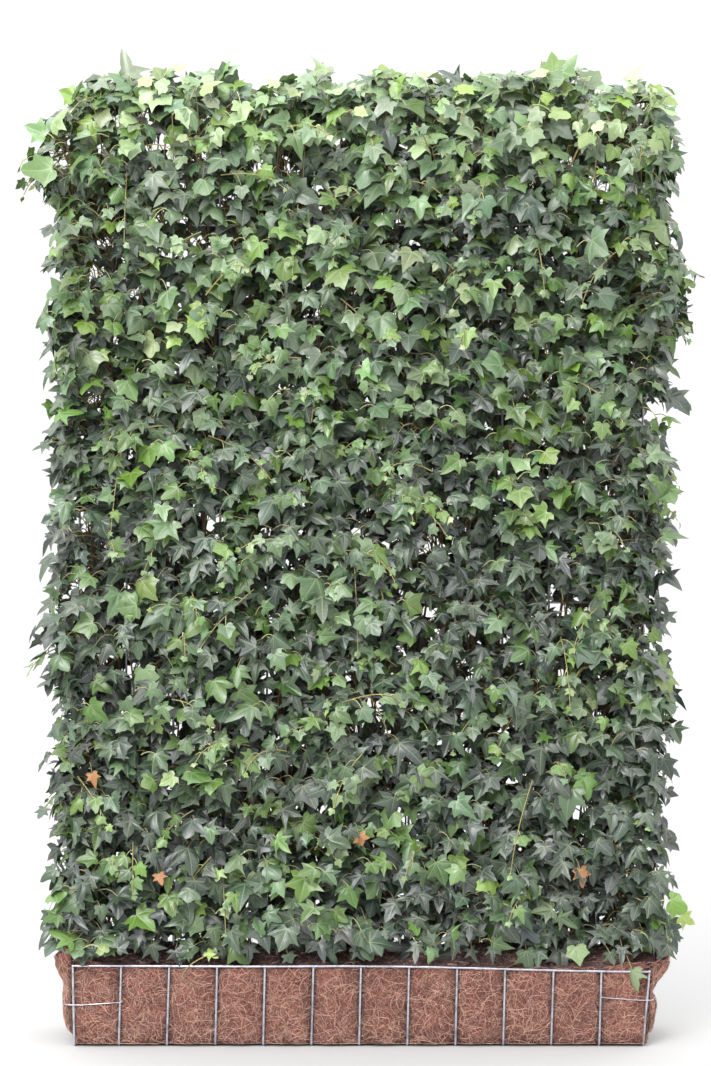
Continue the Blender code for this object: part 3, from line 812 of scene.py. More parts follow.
def grow_face(foliage, paths, side):
    """The even coat of twigs with three leaves each that covers one face."""
    curve = grow_twigs(paths, side)
    x, _, z = curve[3].T
    vigour = rng.normal(0.0, 0.13, len(x))
    lively = (rng.random(len(x)) < 0.16) * rng.uniform(0.15, 0.42, len(x))
    vigour = vigour + lively + 0.10 * np.sin(11 * x + 7 * z + side) * np.sin(5 * x - 9 * z)
    foliage.add_twigs(curve, rng.uniform(0.0008, 0.0014, len(x)), 0.15 + vigour)
    for start, way, length, out, crown, ends, t in leaves_on_twigs(curve, side, (1.0, 0.72, 0.42)):
        depth = np.clip(np.abs(start[:, 1]) / 0.13, 0, 1)
        young = height_youth(start[:, 2]) + 0.30 * depth ** 2 + vigour + 0.10 * (t - 0.6) + 0.10 * ends
        young += patch_youth(start[:, 0], start[:, 2], side)
        young = np.clip(young + rng.normal(0, 0.07, len(t)), 0.0, 0.93)
        size = bounded(*LEAF_SIZE, 0.020, 0.060, len(t)) * (1 - 0.25 * np.maximum(young - 0.6, 0) / 0.4)
        foliage.add_leaves(start, way, length, out, crown, size * (1 + 0.14 * crown), young)


def fill(foliage, start, side, young=None, mean=0.042):
    """Leaves on short stalks at the given points, to close the hedge behind the outer ones."""
    count = len(start)
    out, crown, _ = outward(start[:, 0], start[:, 2], side)
    way = unit(out + rng.normal(0, 0.5, (count, 3)))
    size = bounded(mean, 0.008, 0.022, 0.056, count)
    length = rng.uniform(0.012, 0.035, count)
    if young is None:
        young = rng.uniform(0.0, 0.35, count)
    foliage.add_leaves(start, way, length, out, crown, size, young)


def grow_filler(foliage, side, count):
    """Old leaves close to the trellis, dark from their age and from painted shade deep in the hedge."""
    z, x = rng.uniform(LEAF_FLOOR, 1.94, count), rng.uniform(-0.62, 0.62, count)
    fill(foliage, np.stack([x, side * rng.uniform(0.012, 0.055, count), z], -1), side, mean=0.041)


def grow_top_filler(foliage, side, count):
    """Leaves just under the crown, above the top of the trellis."""
    x = rng.uniform(-0.64, 0.64, count)
    z = top_height(x) - rng.uniform(0.035, 0.150, count)
    start = np.stack([x, side * rng.uniform(0.0, 0.085, count), z], -1)
    fill(foliage, start, side, bounded(0.34, 0.20, 0.0, 0.8, count))


def grow_roof(foliage, count):
    """Leaves that lie over the top of the hedge, between the two faces."""
    x, y = rng.uniform(-0.63, 0.63, count), rng.uniform(-0.095, 0.095, count)
    start = np.stack([x, y, top_height(x) - rng.uniform(0.015, 0.055, count)], -1)
    fill(foliage, start, FRONT, bounded(0.48, 0.18, 0.0, 0.85, count))


def grow_end_filler(foliage, end, count):
    """Leaves over the last upright of the trellis."""
    z = rng.uniform(LEAF_FLOOR, 1.93, count)
    start = np.stack([end * rng.uniform(0.604, 0.624, count), rng.uniform(-0.050, 0.050, count), z], -1)
    fill(foliage, start, FRONT, rng.uniform(0.0, 0.4, count))


def grow_skirt(foliage, count):
    """Leaves of the lowest shoots, which hang in front of the soil and over the top wire."""
    for at in np.linspace(-0.61, 0.61, count) + rng.uniform(-0.5, 0.5, count) * 1.22 / count:
        size = rng.uniform(0.024, 0.042)
        low = RIM + 0.4 * size + rng.uniform(0.010, 0.034)
        base = (at, -rng.uniform(0.092, 0.104), low)
        tip = (rng.normal(0, 0.45), -0.22, -1.0)
        normal = (rng.normal(0, 0.35), -1.0, rng.uniform(0.2, 0.7))
        young = np.clip(rng.beta(1.0, 2.2, 1), 0.0, 0.9)
        tint = age_tint(young, np.array([low]))[0, :3]
        root = (at + rng.normal(0, 0.018), -0.055, low + rng.uniform(0.010, 0.040))
        foliage.add_leaf(base, tip, normal, size, tint, root, np.clip(1.1 - 1.2 * young[0], 0.0, 1.2))


def grow_runner(foliage, start, heading, length, nodes, youth, droop, leaf=0.038):
    """One young shoot with leaves that get smaller and paler towards its tip."""
    ahead, drop = unit(np.array(heading)) * length, UP * droop * length
    start = np.array(start)
    side = FRONT if start[1] < 0 else BACK
    curve = [start, start + ahead * 0.4, start + ahead * 0.8 - drop * 0.2, start + ahead - drop * 0.75]
    curve = [soft_limit(point[None]) if place > 1 else point[None] for place, point in enumerate(curve)]
    foliage.add_twigs(curve, 0.0011, np.array([youth]))
    t = np.linspace(0.18, 1.0, nodes)
    at = on_curve(*curve, t[:, None])
    before, after = (t - 0.05)[:, None], np.minimum(t + 0.05, 1.05)[:, None]
    tangent = unit(on_curve(*curve, after) - on_curve(*curve, before))
    out, crown, _ = outward(at[:, 0], at[:, 2], side)
    flip = np.where(np.arange(nodes) % 2 == 0, 1.0, -1.0)[:, None]
    sideways = unit(np.cross(tangent, out)) * flip * rng.uniform(0.5, 1.0, (nodes, 1))
    way = unit(tangent * 0.6 + sideways * (1 - 0.7 * t)[:, None] + out * 0.35)
    size = mix(leaf, leaf / 3, t ** 1.6) * rng.normal(1.0, 0.10, nodes)
    stalk = np.clip(mix(0.026, 0.005, t) * rng.normal(1.0, 0.2, nodes), 0.003, 0.04)
    young = np.clip(youth + 0.38 * t ** 2.0 + rng.normal(0, 0.04, nodes), 0, 1.0)
    foliage.add_leaves(at, way, stalk, out, crown * 0.7 + 0.15, np.clip(size, 0.008, 0.06), young)


def grow_runners(foliage, side, count):
    """Young shoots that wander over one face."""
    for _ in range(count):
        z = rng.uniform(0.31, 1.97)
        start = (rng.uniform(-1, 1) * 0.60, side * rng.uniform(0.075, 0.125), z)
        heading = (rng.normal(0, 0.9), side * rng.uniform(0.2, 0.7), rng.normal(-0.05, 0.6))
        length, nodes = rng.uniform(0.06, 0.16), rng.integers(3, 7)
        grow_runner(foliage, start, heading, length, nodes, rng.uniform(0.36, 0.60), rng.uniform(0.2, 0.9))


def grow_crown(foliage, count):
    """Shoots along the top that stand up and lean out."""
    for x in np.linspace(-0.60, 0.60, count):
        x, y = x + rng.normal(0, 0.01), rng.uniform(-0.07, 0.07)
        heading = (rng.normal(0, 0.6), rng.normal(-0.2, 0.4), rng.uniform(0.2, 1.0))
        length = rng.uniform(0.03, 0.07)
        start = (x, y, top_height(x) - rng.uniform(0.02, 0.06))
        grow_runner(foliage, start, heading, length, rng.integers(3, 6), rng.uniform(0.36, 0.60), 0.2, 0.047)


def grow_ends(foliage, bulges, end, count):
    """Shoots that stand out of one end, most of them at the bulges."""
    for _ in range(count):
        height, _, half = bulges[rng.integers(len(bulges))]
        z = np.clip(rng.normal(height, half * 0.6), 0.25, 1.98)
        start = (end * (end_reach(z, bulges) - rng.uniform(0.04, 0.08)), rng.uniform(-0.07, 0.06), z)
        heading = (end * rng.uniform(0.5, 1.0), rng.normal(-0.2, 0.4), rng.normal(0.0, 0.5))
        length, nodes = rng.uniform(0.03, 0.08), rng.integers(3, 6)
        grow_runner(foliage, start, heading, length, nodes, rng.uniform(0.35, 0.6), 0.5)


def grow_end_face(foliage, paths, bulges, end):
    """Leaves that close one end of the hedge."""
    rows, columns = np.arange(LEAF_FLOOR + 0.01, 1.96, END_STEP), np.arange(-0.105, 0.106, END_STEP)
    height, y = (grid.ravel() for grid in np.meshgrid(rows, columns))
    count = len(y)
    height = height + rng.uniform(-0.5, 0.5, count) * END_STEP
    y = y + rng.uniform(-0.5, 0.5, count) * END_STEP
    tips = np.stack([end * (end_reach(height, bulges) - rng.uniform(0.028, 0.075, count)), y, height], -1)
    roots = twig_roots(paths, tips, [0 if end < 0 else CELLS - 1] * count)
    reach = np.linalg.norm(tips - roots, axis=1, keepdims=True)
    first = roots + np.array([end * 0.7, 0.0, 0.5]) * reach * 0.35
    second = tips - np.array([end * 0.3, 0.0, -0.15]) * reach
    curve = (roots, first, second, tips)
    foliage.add_twigs(curve, rng.uniform(0.0008, 0.0013, count), rng.uniform(0.0, 0.4, count))
    for place in (1.0, 0.74):
        t = np.clip(place + rng.normal(0, 0.05, count), 0.3, 1.0)
        start = on_curve(*curve, t[:, None])
        out = unit(np.stack([np.full(count, float(end)), start[:, 1] * 6.0, np.full(count, 0.15)], -1))
        spread = rng.uniform(0.4, 1.1, (count, 1))
        way = unit(out * spread + rng.normal(0, 0.5, (count, 3)) * [0.2, 1.0, 0.6])
        length = bounded(0.026, 0.010, 0.010, 0.045, count)
        young = np.clip(height_youth(start[:, 2]) + rng.normal(0.12, 0.17, count), 0.0, 0.9)
        size = bounded(*LEAF_SIZE, 0.020, 0.058, count)
        foliage.add_leaves(start, way, length, out, crown_share(start[:, 0], start[:, 2]), size, young)


LEAF_SLATE, LEAF_LIME = (0.045, 0.075, 0.055), (0.38, 0.50, 0.11)
LEAF_DEAD = (0.42, 0.17, 0.055)
# Slate leaves at the lower right corner (place and size) and dead leaves (across, height and size).
CORNER_LEAVES = ((0.648, -0.035, 0.246, 0.042), (0.630, -0.070, 0.232, 0.036), (0.605, -0.085, 0.226, 0.040),
                 (0.655, 0.010, 0.238, 0.040), (0.585, -0.092, 0.238, 0.034), (0.652, -0.035, 0.222, 0.038),
                 (0.630, -0.060, 0.213, 0.034))
DEAD_LEAVES = ((-0.554, 0.569, 0.026), (-0.417, 0.362, 0.024), (-0.005, 0.443, 0.030), (0.450, 0.372, 0.036))
TRAILING_SHOOT = ((-0.312, -0.085, 0.192), (-0.335, -0.118, 0.184), (-0.368, -0.108, 0.172),
                  (-0.372, -0.106, 0.140))


def add_noted_leaves(foliage):
    """Single leaves that are easy to pick out: over the rim, at both lower corners and a few dead ones."""
    over_rim = (0.560, BASKET[0, 1] - 0.006, RIM - 0.010)
    foliage.add_leaf(over_rim, (0.26, -0.05, -1.0), (-0.85, -0.75, 0.1), 0.040, (0.22, 0.30, 0.16),
                     (0.540, -0.085, RIM + 0.030))
    foliage.add_leaf((-0.656, -0.050, 0.268), (-0.1, -0.2, -1.0), (-0.6, -0.8, 0.1), 0.036, LEAF_SLATE,
                     (-0.625, -0.06, 0.330))
    foliage.add_leaf((0.668, -0.060, 0.262), (0.75, -0.1, -0.35), (0.1, -1.0, 0.4), 0.036, LEAF_LIME,
                     (0.620, -0.05, 0.262))
    foliage.add_leaf((-0.318, -0.098, 0.196), (0.8, -0.3, -0.3), (0.1, -0.8, 0.6), 0.026, LEAF_LIME,
                     (-0.330, -0.09, 0.180))
    for x, y, z, size in CORNER_LEAVES:
        root = (x - 0.03, y * 0.6, z + 0.04)
        foliage.add_leaf((x, y, z), (0.25, -0.2, -1.0), (0.35, -0.9, 0.35), size, LEAF_SLATE, root)
    for x, z, size in DEAD_LEAVES:
        root = (x - 0.01, -0.09, z + 0.02)
        foliage.add_leaf((x, -0.128, z), (0.3, -0.1, -0.9), (0.2, -1.0, 0.3), size, LEAF_DEAD, root)
    foliage.add_twigs([np.array([point]) for point in TRAILING_SHOOT], 0.0011, np.array([0.95]))


def make_foliage(paths):
    foliage = Foliage()
    for side in (FRONT, BACK):
        grow_face(foliage, paths, side)
        grow_filler(foliage, side, 600)
        grow_runners(foliage, side, 105)
    grow_end_face(foliage, paths, LEFT_BULGES, -1)
    grow_end_face(foliage, paths, RIGHT_BULGES, 1)
    add_noted_leaves(foliage)
    grow_crown(foliage, 92)
    grow_ends(foliage, LEFT_BULGES, -1, 34)
    grow_ends(foliage, RIGHT_BULGES, 1, 34)
    for side in (FRONT, BACK):
        grow_top_filler(foliage, side, 150)
    grow_roof(foliage, 260)
    for end in (-1, 1):
        grow_end_filler(foliage, end, 130)
    grow_skirt(foliage, 23)
    return foliage


def make_leaf_pieces(foliage, blade, stalk):
    """One piece of leaves for each plant, and one more past the last upright at each end."""
    blades, stalks = foliage.gathered("blades"), foliage.gathered("stalks")
    x = blades[0][:, 0]
    owner, past = plant_of(x), np.abs(x) > UPRIGHTS[-1]
    groups = [(plant, "", (owner == plant) & ~past) for plant in range(CELLS)]
    groups += [(plant, "_end", (owner == plant) & past) for plant in (0, CELLS - 1)]
    for plant, suffix, mine in groups:
        work = Patchwork()
        add_blades(work, *(row[mine] for row in blades))
        work.points[-1] = soft_limit(work.points[-1])
        *curve, radius, colour = (row[mine] for row in stalks)
        radii = radius[:, None] * np.linspace(1.25, 0.85, STALK_RINGS)
        add_tubes(work, curves(*curve, STALK_RINGS), radii, 3, colour, (0.86, 1.0), slot=1)
        piece = work.build(f"ivy_foliage_{plant + 1:02d}{suffix}", [blade, stalk])
        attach(piece, "root")
        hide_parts(f"ivy_leaves_{plant + 1:02d}")


def make_stem_pieces(paths, foliage, bark, stalk):
    """The woody shoots and the side twigs of each plant."""
    twigs = foliage.gathered("twigs")
    owner = plant_of(twigs[3][:, 0])
    share = np.linspace(0, 1, STEM_RINGS)[None]
    for plant in range(CELLS):
        work = Patchwork()
        path, start, finish = map(np.array, zip(*paths[plant, FRONT], *paths[plant, BACK]))
        count = len(path)
        knobs = rng.normal(0, 1, (count, STEM_RINGS)).clip(-1, 1.5)
        foot = smooth(1 - (path[..., 2] - SOIL_TOP) / 0.05)
        radii = mix(start[:, None], finish[:, None], share) * (1 + 0.108 * knobs) * (1 + 0.45 * foot)
        add_tubes(work, path, radii, 8, bark_tint(count, np.repeat(share, count, 0)), (0.0, 0.40))
        *curve, radius, young = (row[owner == plant] for row in twigs)
        thick = radius[:, None] * np.linspace(1.3, 0.8, TWIG_RINGS)
        ripe = np.clip(young * 1.4, 0, 1)[:, None]
        tint = with_chance(mix((0.16, 0.10, 0.05), (0.42, 0.40, 0.16), ripe))
        add_tubes(work, curves(*curve, TWIG_RINGS), thick, 4, tint, (0.42, 1.0), slot=1)
        piece = work.build(f"ivy_stems_{plant + 1:02d}", [bark, stalk])
        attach(piece, "root")
        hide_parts(f"ivy_stem_{plant + 1:02d}")


# ---------------------------------------------------------------- wire basket, stays and trellis

TRELLIS_RADIUS = 0.0025
STAY_RADIUS = 0.0011
STAY_BOXY = 0.62


def wire_path(knots, rings, waver=0.0006):
    """Evenly spaced points along straight runs between knots, a little out of true."""
    knots = np.array(knots, dtype=float)
    steps = np.concatenate([[0], np.cumsum(np.linalg.norm(np.diff(knots, axis=0), axis=1))])
    along = np.linspace(0, steps[-1], rings)
    path = np.stack([np.interp(along, steps, column) for column in knots.T], -1)
    phase = rng.uniform(0, 6.3, 3)
    return path + waver * np.sin(along[:, None] * [9.0, 12.0, 7.0] + phase)


def add_wires(work, paths, radius, band):
    """Round wires with narrowed ends."""
    paths = np.array(paths)
    radii = np.full(paths.shape[:2], radius)
    radii[:, [0, -1]] *= 0.55
    add_tubes(work, paths, radii, 12, None, band)


def add_beads(work, centres, radius, band):
    """Small weld lumps, as squashed spheres."""
    latitude = np.linspace(-np.pi / 2, np.pi / 2, 5)
    offsets = (np.sin(latitude) * radius)[:, None] * [1.0, 0.0, 0.0]
    girth = np.maximum(np.cos(latitude), 0.05) * radius * 0.85
    add_tubes(work, np.array(centres)[:, None] + offsets, girth, 8, None, band)


def u_wire(x, inset):
    """One upright of the basket: down the front, under the base and up the back."""
    front, top = BASKET[0, 1] + inset, BASKET[1, 2] - 0.0015
    low, bend = WIRE / 2, 0.008
    half = [(x, front, top), (x, front, low + bend)]
    for angle in np.radians([22.5, 45, 67.5]):
        half.append((x, front + bend * (1 - np.cos(angle)), low + bend * (1 - np.sin(angle))))
    half.append((x, front + bend, low))
    return half + [(x, -y, z) for x, y, z in half[::-1]]


def foot_shift(x):
    """How far the foot of a basket upright stands to one side of its top: the mesh is pushed out of true."""
    return -0.013 if x > UPRIGHTS[-1] - 0.01 else 0.003 if x < UPRIGHTS[0] + 0.01 else -0.0045


def rim_sink(x):
    """How far the top wire is bent down towards its right-hand end."""
    return 0.011 * smooth((x + 0.1) / 0.7)


def make_basket(steel):
    work = Patchwork()
    uprights = [wire_path(u_wire(x, WIRE * 0.92), 120, 0.0005) for x in UPRIGHTS]
    for path in uprights:
        path[:, 0] += foot_shift(path[0, 0]) * (1 - path[:, 2] / RIM)
        path[:, 2] -= rim_sink(path[0, 0]) * smooth(path[:, 2] / RIM)
    add_wires(work, uprights, WIRE / 2, (0.0, 0.45))
    half, rim_z = BASKET[1, 0], RIM - WIRE / 2
    bars, beads = [], []
    for side in (FRONT, BACK):
        face = side * (BASKET[1, 1] - WIRE * 0.22)
        rim = wire_path([(-half, face, rim_z), (half, face, rim_z)], 120, 0.0008)
        rim[:, 2] -= rim_sink(rim[:, 0])
        inner = face - side * WIRE * 3.2
        low = [(-half, inner, WIRE * 1.4), (half - 0.012, inner, WIRE * 1.4)]
        bars += [rim, wire_path(low, 120, 0.0004)]
        beads += [(x, side * (BASKET[1, 1] - WIRE * 0.55), rim_z - rim_sink(x)) for x in UPRIGHTS]
    bars.append(wire_path([(-half, 0.0, WIRE * 1.25), (half, 0.0, WIRE * 1.25)], 120, 0.0004))
    add_wires(work, bars, WIRE / 2, (0.46, 0.60))
    add_beads(work, beads, 0.0031, (0.61, 1.0))
    piece = work.build("basket_wires", [steel])
    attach(piece, "root")
    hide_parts("wire_basket")


def make_trellis(steel):
    work = Patchwork()
    (left, _, foot), (right, _, top) = TRELLIS
    behind, before = TRELLIS_RADIUS * 1.25, -TRELLIS_RADIUS * 0.45
    posts = [wire_path([(x, before, foot), (x, before, top)], 90, 0.0009) for x in UPRIGHTS]
    add_wires(work, posts, TRELLIS_RADIUS, (0.0, 0.5))
    levels = np.unique(np.round(node_points("trellis_panel")[:, 2], 4))[2::2] - TRELLIS_RADIUS
    bars = [wire_path([(left, behind, z), (right, behind, z)], 90, 0.0009) for z in levels]
    add_wires(work, bars, TRELLIS_RADIUS, (0.51, 0.75))
    welds = [(x, TRELLIS_RADIUS * 0.4, z) for x in UPRIGHTS for z in levels]
    add_beads(work, welds, 0.0033, (0.76, 1.0))
    piece = work.build("trellis_wires", [steel])
    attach(piece, "root")
    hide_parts("trellis_panel")


def hook_turns(x, y, z, side):
    """Thin wire wound round an upright of the basket."""
    reach = WIRE / 2 + 0.0013
    return [(x + side * reach * np.sin(a), y + np.sign(y) * reach * np.cos(a), z + 0.0024 * a / (2 * np.pi))
            for a in np.linspace(0, 2 * np.pi * 1.4, 16)]


def make_stay(name, node, end, steel):
    """Thin wire round one end: wound on the second upright of the front and of the back."""
    z = STAY[0, 2] + 0.0012 + (0.006 if end > 0 else -0.004)
    post, face = end * UPRIGHTS[-2], BASKET[1, 1] + 0.0014
    upright_y = BASKET[1, 1] - WIRE * 0.92
    reach = np.interp(z, LINER_HEIGHTS, LINER_REACH) + end_swell(z, end) + 0.0030
    corner = BASKET[1, 0] - 0.004
    low = z - 0.005
    runs = [(post + end * 0.02, face, z - 0.001), (end * (corner - 0.02), face, low)]
    points = hook_turns(post, -upright_y, z, -end)[::-1] + [(x, -y, z) for x, y, z in runs]
    for angle in np.radians(np.linspace(84, -84, 41)):
        out = np.cos(angle) ** STAY_BOXY
        back = np.sign(angle) * np.abs(np.sin(angle)) ** STAY_BOXY
        points.append((end * (corner + (reach - corner) * out), -face * back, low))
    points += runs[::-1] + hook_turns(post, upright_y, z, end)
    work = Patchwork()
    add_tubes(work, wire_path(points, 150, 0.0002)[None], STAY_RADIUS, 8, None, (0.0, 1.0))
    piece = work.build(name, [steel])
    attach(piece, "root")
    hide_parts(node)


# ---------------------------------------------------------------- coir liner

LINER_LEVELS = 34
LINER_AROUND = 960
LINER_BOXY = 0.55
LINER_ARC = 0.30
LINER_HALF_DEPTH = LINER[1, 1]
LINER_STRAIGHT = BASKET[1, 0] - 0.015
LINER_LENGTH = 4 * LINER_STRAIGHT + 2 * LINER_ARC
LINER_SIDE_SHARE = LINER_STRAIGHT / LINER_LENGTH
LEFT_SWELL = ((0.0, 0.05), (0.0, 0.009))
# The right-hand end is drawn in where the stay wire holds it.
RIGHT_SWELL = ((0.0, 0.020, 0.039, 0.066, 0.084, 0.095, 0.104, 0.116, 0.130, 0.145),
               (0.0, 0.000, -0.002, 0.0, 0.003, -0.001, -0.007, -0.003, 0.006, 0.013))


def liner_profile():
    """Height and reach of the liner's end, read from its solid."""
    points = node_points("coir_liner")
    levels = np.round(points[:, 2], 4)
    heights = np.unique(levels)
    return heights, np.array([points[levels == z][:, 0].max() for z in heights])


LINER_HEIGHTS, LINER_REACH = liner_profile()


def end_swell(z, end):
    """How far one end of the mat stands out past its solid."""
    return np.interp(z, *(RIGHT_SWELL if end > 0 else LEFT_SWELL))


def value_noise(x, y, seed):
    """Smooth random pattern between -1 and 1 from a few turned waves."""
    local = np.random.default_rng(seed)
    total = 0.0
    for _ in range(7):
        angle, frequency = local.uniform(0, 2 * np.pi), local.uniform(0.6, 1.8)
        along = x * np.cos(angle) + y * np.sin(angle)
        total = total + np.sin(frequency * along * 2 * np.pi + local.uniform(0, 6.3))
    return total / 4


def liner_surface(around, z, offset=0.0, inset=0.0):
    """Point of the liner's wall. around runs from 0 to 1 round the trough, from the middle of the front."""
    around = around % 1.0
    turned = np.where(around < 0.5, 1, -1)
    past = around % 0.5 * LINER_LENGTH - LINER_STRAIGHT
    outside = np.maximum(-past, 0) + np.maximum(past - LINER_ARC, 0)
    angle = np.clip(past / LINER_ARC, 0, 1) * np.pi - np.pi / 2
    cos, sin = np.cos(angle), np.sin(angle)
    reach = np.interp(z, LINER_HEIGHTS, LINER_REACH) - LINER_STRAIGHT - inset
    reach = reach + np.where(around < 0.5, end_swell(z, 1), end_swell(z, -1))
    x = turned * (LINER_STRAIGHT + reach * cos ** LINER_BOXY - outside)
    y = turned * (LINER_HALF_DEPTH - inset) * np.sign(sin) * np.abs(sin) ** LINER_BOXY
    cell = np.sin(np.pi * (x - UPRIGHTS[0]) / PITCH) ** 2
    share = np.clip((z - LINER[0, 2]) / (RIM - LINER[0, 2]), 0, 1)
    bulge = np.clip(share / 0.06, 0, 1) ** 0.5 * np.clip((1 - share) / 0.15, 0, 1) ** 0.5
    pillow = np.where(np.abs(sin) > 0.999, (0.0068 * cell ** 0.42 - 0.0008) * bulge, 0.0)
    place = around * LINER_LENGTH
    rough = 0.0012 * value_noise(place * 14, z * 14, 3) + 0.0007 * value_noise(place * 60, z * 60, 4)
    out = offset + (pillow + rough if inset == 0 else 0.0)
    return np.stack(np.broadcast_arrays(x + turned * cos * out, y + turned * sin * out, z), -1)


def lip_height(around):
    """Uneven top edge, with a folded flap that stands up at the left-hand end."""
    s = around * 2 * np.pi
    ends = smooth((0.085 - np.abs((around % 0.5) - 0.25)) / 0.035)
    stand = np.where(around % 1.0 < 0.5, 0.0125, 0.017)
    flap = 0.024 * np.exp(-((around - 0.790) / 0.013) ** 2)
    return RIM - 0.009 + stand * ends + 0.0020 * np.sin(34 * s) + 0.0015 * np.sin(81 * s + 1) + flap


def add_mat(work):
    """The mat: up the outside from under the base, over the lip and a little way down the inside."""
    around = np.linspace(0, 1, LINER_AROUND, endpoint=False)
    lip = lip_height(around)
    rows = [liner_surface(around, np.full(LINER_AROUND, LINER[0, 2]), inset=0.012)]
    for level in np.linspace(0, 1, LINER_LEVELS):
        rows.append(liner_surface(around, mix(LINER[0, 2] - 0.0015, lip, level),
                                  -0.003 * (1 - smooth(level / 0.04))))
    for drop, inset in ((-0.0015, 0.003), (-0.001, 0.007), (0.004, 0.0095), (0.012, 0.010), (0.030, 0.010)):
        rows.append(liner_surface(around, lip - drop, inset=inset))
    faces, places = grid_faces(len(rows), LINER_AROUND, wrap=True)
    lanes = 6
    lane = np.minimum((places[:, :1, 0] * lanes).astype(int), lanes - 1)
    height = (lane + 0.03 + places[..., 1] * 0.94) / lanes * 0.6
    atlas = np.stack([places[..., 0] * lanes - lane, height], -1)
    work.add(np.array(rows), faces, atlas)


def add_strands(work, count, middles):
    """Loose curled fibres that lie on the outside of the mat, on the sides with these middles."""
    spread = 0.25 - LINER_SIDE_SHARE if len(middles) == 2 else LINER_SIDE_SHARE
    around = rng.choice(middles, (count, 1)) + rng.uniform(-1, 1, (count, 1)) * spread
    z = LINER[0, 2] + 0.002 + (RIM - LINER[0, 2]) * rng.random((count, 1)) ** 1.1
    heading = rng.uniform(0, 2 * np.pi, (count, 1))
    length = rng.uniform(0.010, 0.050, (count, 1))
    t = np.linspace(0, 1, 6)[None]
    angle = heading + rng.normal(0, 1.25, (count, 1)) * (t - 0.5)
    step = length / (t.size - 1)
    loose = 0.0030 * (t ** 2) * (rng.random((count, 1)) < 0.3)
    lift = 0.0003 + rng.uniform(0, 0.0016, (count, 1)) + loose
    place = (around + np.cumsum(np.cos(angle) * step, axis=1) / LINER_LENGTH) % 1.0
    height = z + np.cumsum(np.sin(angle) * step, axis=1)
    height = np.clip(height, LINER[0, 2] + 0.001, lip_height(place) + 0.002)
    path = liner_surface(place, height, lift)
    radii = rng.uniform(0.00020, 0.00052, (count, 1))
    shade = rng.beta(0.9, 0.85, (count, 1))
    middle = path[:, 3]
    # Painted shade: strands on the front and back that lie beside an upright wire are darkened.
    beside = np.abs((middle[:, :1] - UPRIGHTS[0] + 0.003) % PITCH - PITCH / 2) / PITCH
    painted_wire_shade = smooth((beside - 0.40) / 0.07) * (np.abs(middle[:, 1:2]) > LINER_HALF_DEPTH * 0.95)
    colour = mix((0.11, 0.034, 0.027), (1.0, 0.62, 0.48), shade) * (1 - 0.60 * painted_wire_shade)
    add_tubes(work, path, radii, 3, with_chance(colour), (0.0, 1.0))


def make_liner(coir, strand):
    work = Patchwork()
    add_mat(work)
    pieces = [work.build("coir_mat", [coir])]
    for name, count, middles in (("coir_strands_front", 6400, (0.0,)), ("coir_strands_back", 4200, (0.5,)),
                                 ("coir_strands_ends", 2600, (0.25, 0.75))):
        work = Patchwork()
        add_strands(work, count, middles)
        pieces.append(work.build(name, [strand]))
    for piece in pieces:
        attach(piece, "root")
        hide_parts("coir_liner")


# ---------------------------------------------------------------- soil

SOIL_COLUMNS, SOIL_ROWS = 520, 64


def soil_height(x, y):
    """A mound with lumps of three sizes."""
    depth = np.clip(np.abs(y) / SOIL[1, 1], 0, 1)
    height = mix(SOIL_TOP + 0.004, RIM - 0.006, smooth((depth - 0.15) / 0.85))
    for seed, size, fineness in ((11, 0.0045, 7), (12, 0.0025, 22), (13, 0.0012, 70)):
        height = height + size * value_noise(x * fineness, y * fineness, seed)
    return height


def soil_width(x):
    """Share of its full width that the soil has at x: its ends are round."""
    end = np.clip((SOIL[1, 0] - np.abs(x)) / (SOIL[1, 0] - LINER_STRAIGHT), 0, 1)
    return np.sqrt(np.clip(1 - (1 - end) ** 2, 0.0, 1.0))


def add_ground(work):
    """The surface of the soil, with a skirt down inside the liner."""
    across = np.linspace(-1, 1, SOIL_COLUMNS) * (SOIL[1, 0] - 0.004)
    x, v = np.meshgrid(across, np.linspace(-1, 1, SOIL_ROWS))
    y = v * (SOIL[1, 1] - 0.001) * soil_width(x)
    points = np.stack([x, y, soil_height(x, y)], -1)
    points = np.concatenate([points[:1], points, points[-1:]])
    points[[0, -1], :, 2] = RIM - 0.05
    faces, places = grid_faces(len(points), SOIL_COLUMNS)
    work.add(points, faces, places * [1.0, 0.4])


def soil_spots(count):
    x = rng.uniform(-1, 1, count) * (SOIL[1, 0] - 0.012)
    y = rng.uniform(-1, 1, count) * (SOIL[1, 1] - 0.004) * soil_width(x)
    return np.stack([x, y, soil_height(x, y)], -1)


def add_chips(work, count):
    """Bark chips and crumbs, as short uneven slabs that lie on the soil."""
    spots = soil_spots(count)
    heading = rng.uniform(0, 2 * np.pi, count)
    length = rng.uniform(0.002, 0.011, count) * rng.choice([0.6, 1.0, 1.5], count)
    way = np.stack([np.cos(heading), np.sin(heading), rng.normal(0, 0.25, count)], -1) * length[:, None]
    centre = spots + UP * rng.uniform(0.0, 0.0022, (count, 1))
    path = centre[:, None] + way[:, None] * np.array([-1.0, -0.8, 0.0, 0.75, 1.0])[:, None]
    path = path + rng.normal(0, 0.0006, path.shape)
    radii = rng.uniform(0.0009, 0.0034, (count, 1)) * np.array([0.15, 0.9, 1.0, 0.8, 0.12])
    tint = with_chance(mix((0.065, 0.034, 0.035), (0.60, 0.38, 0.34), rng.beta(1.0, 3.0, (count, 1))))
    add_tubes(work, path, radii, 5, tint, (0.42, 0.66), slot=1, flat=0.5)


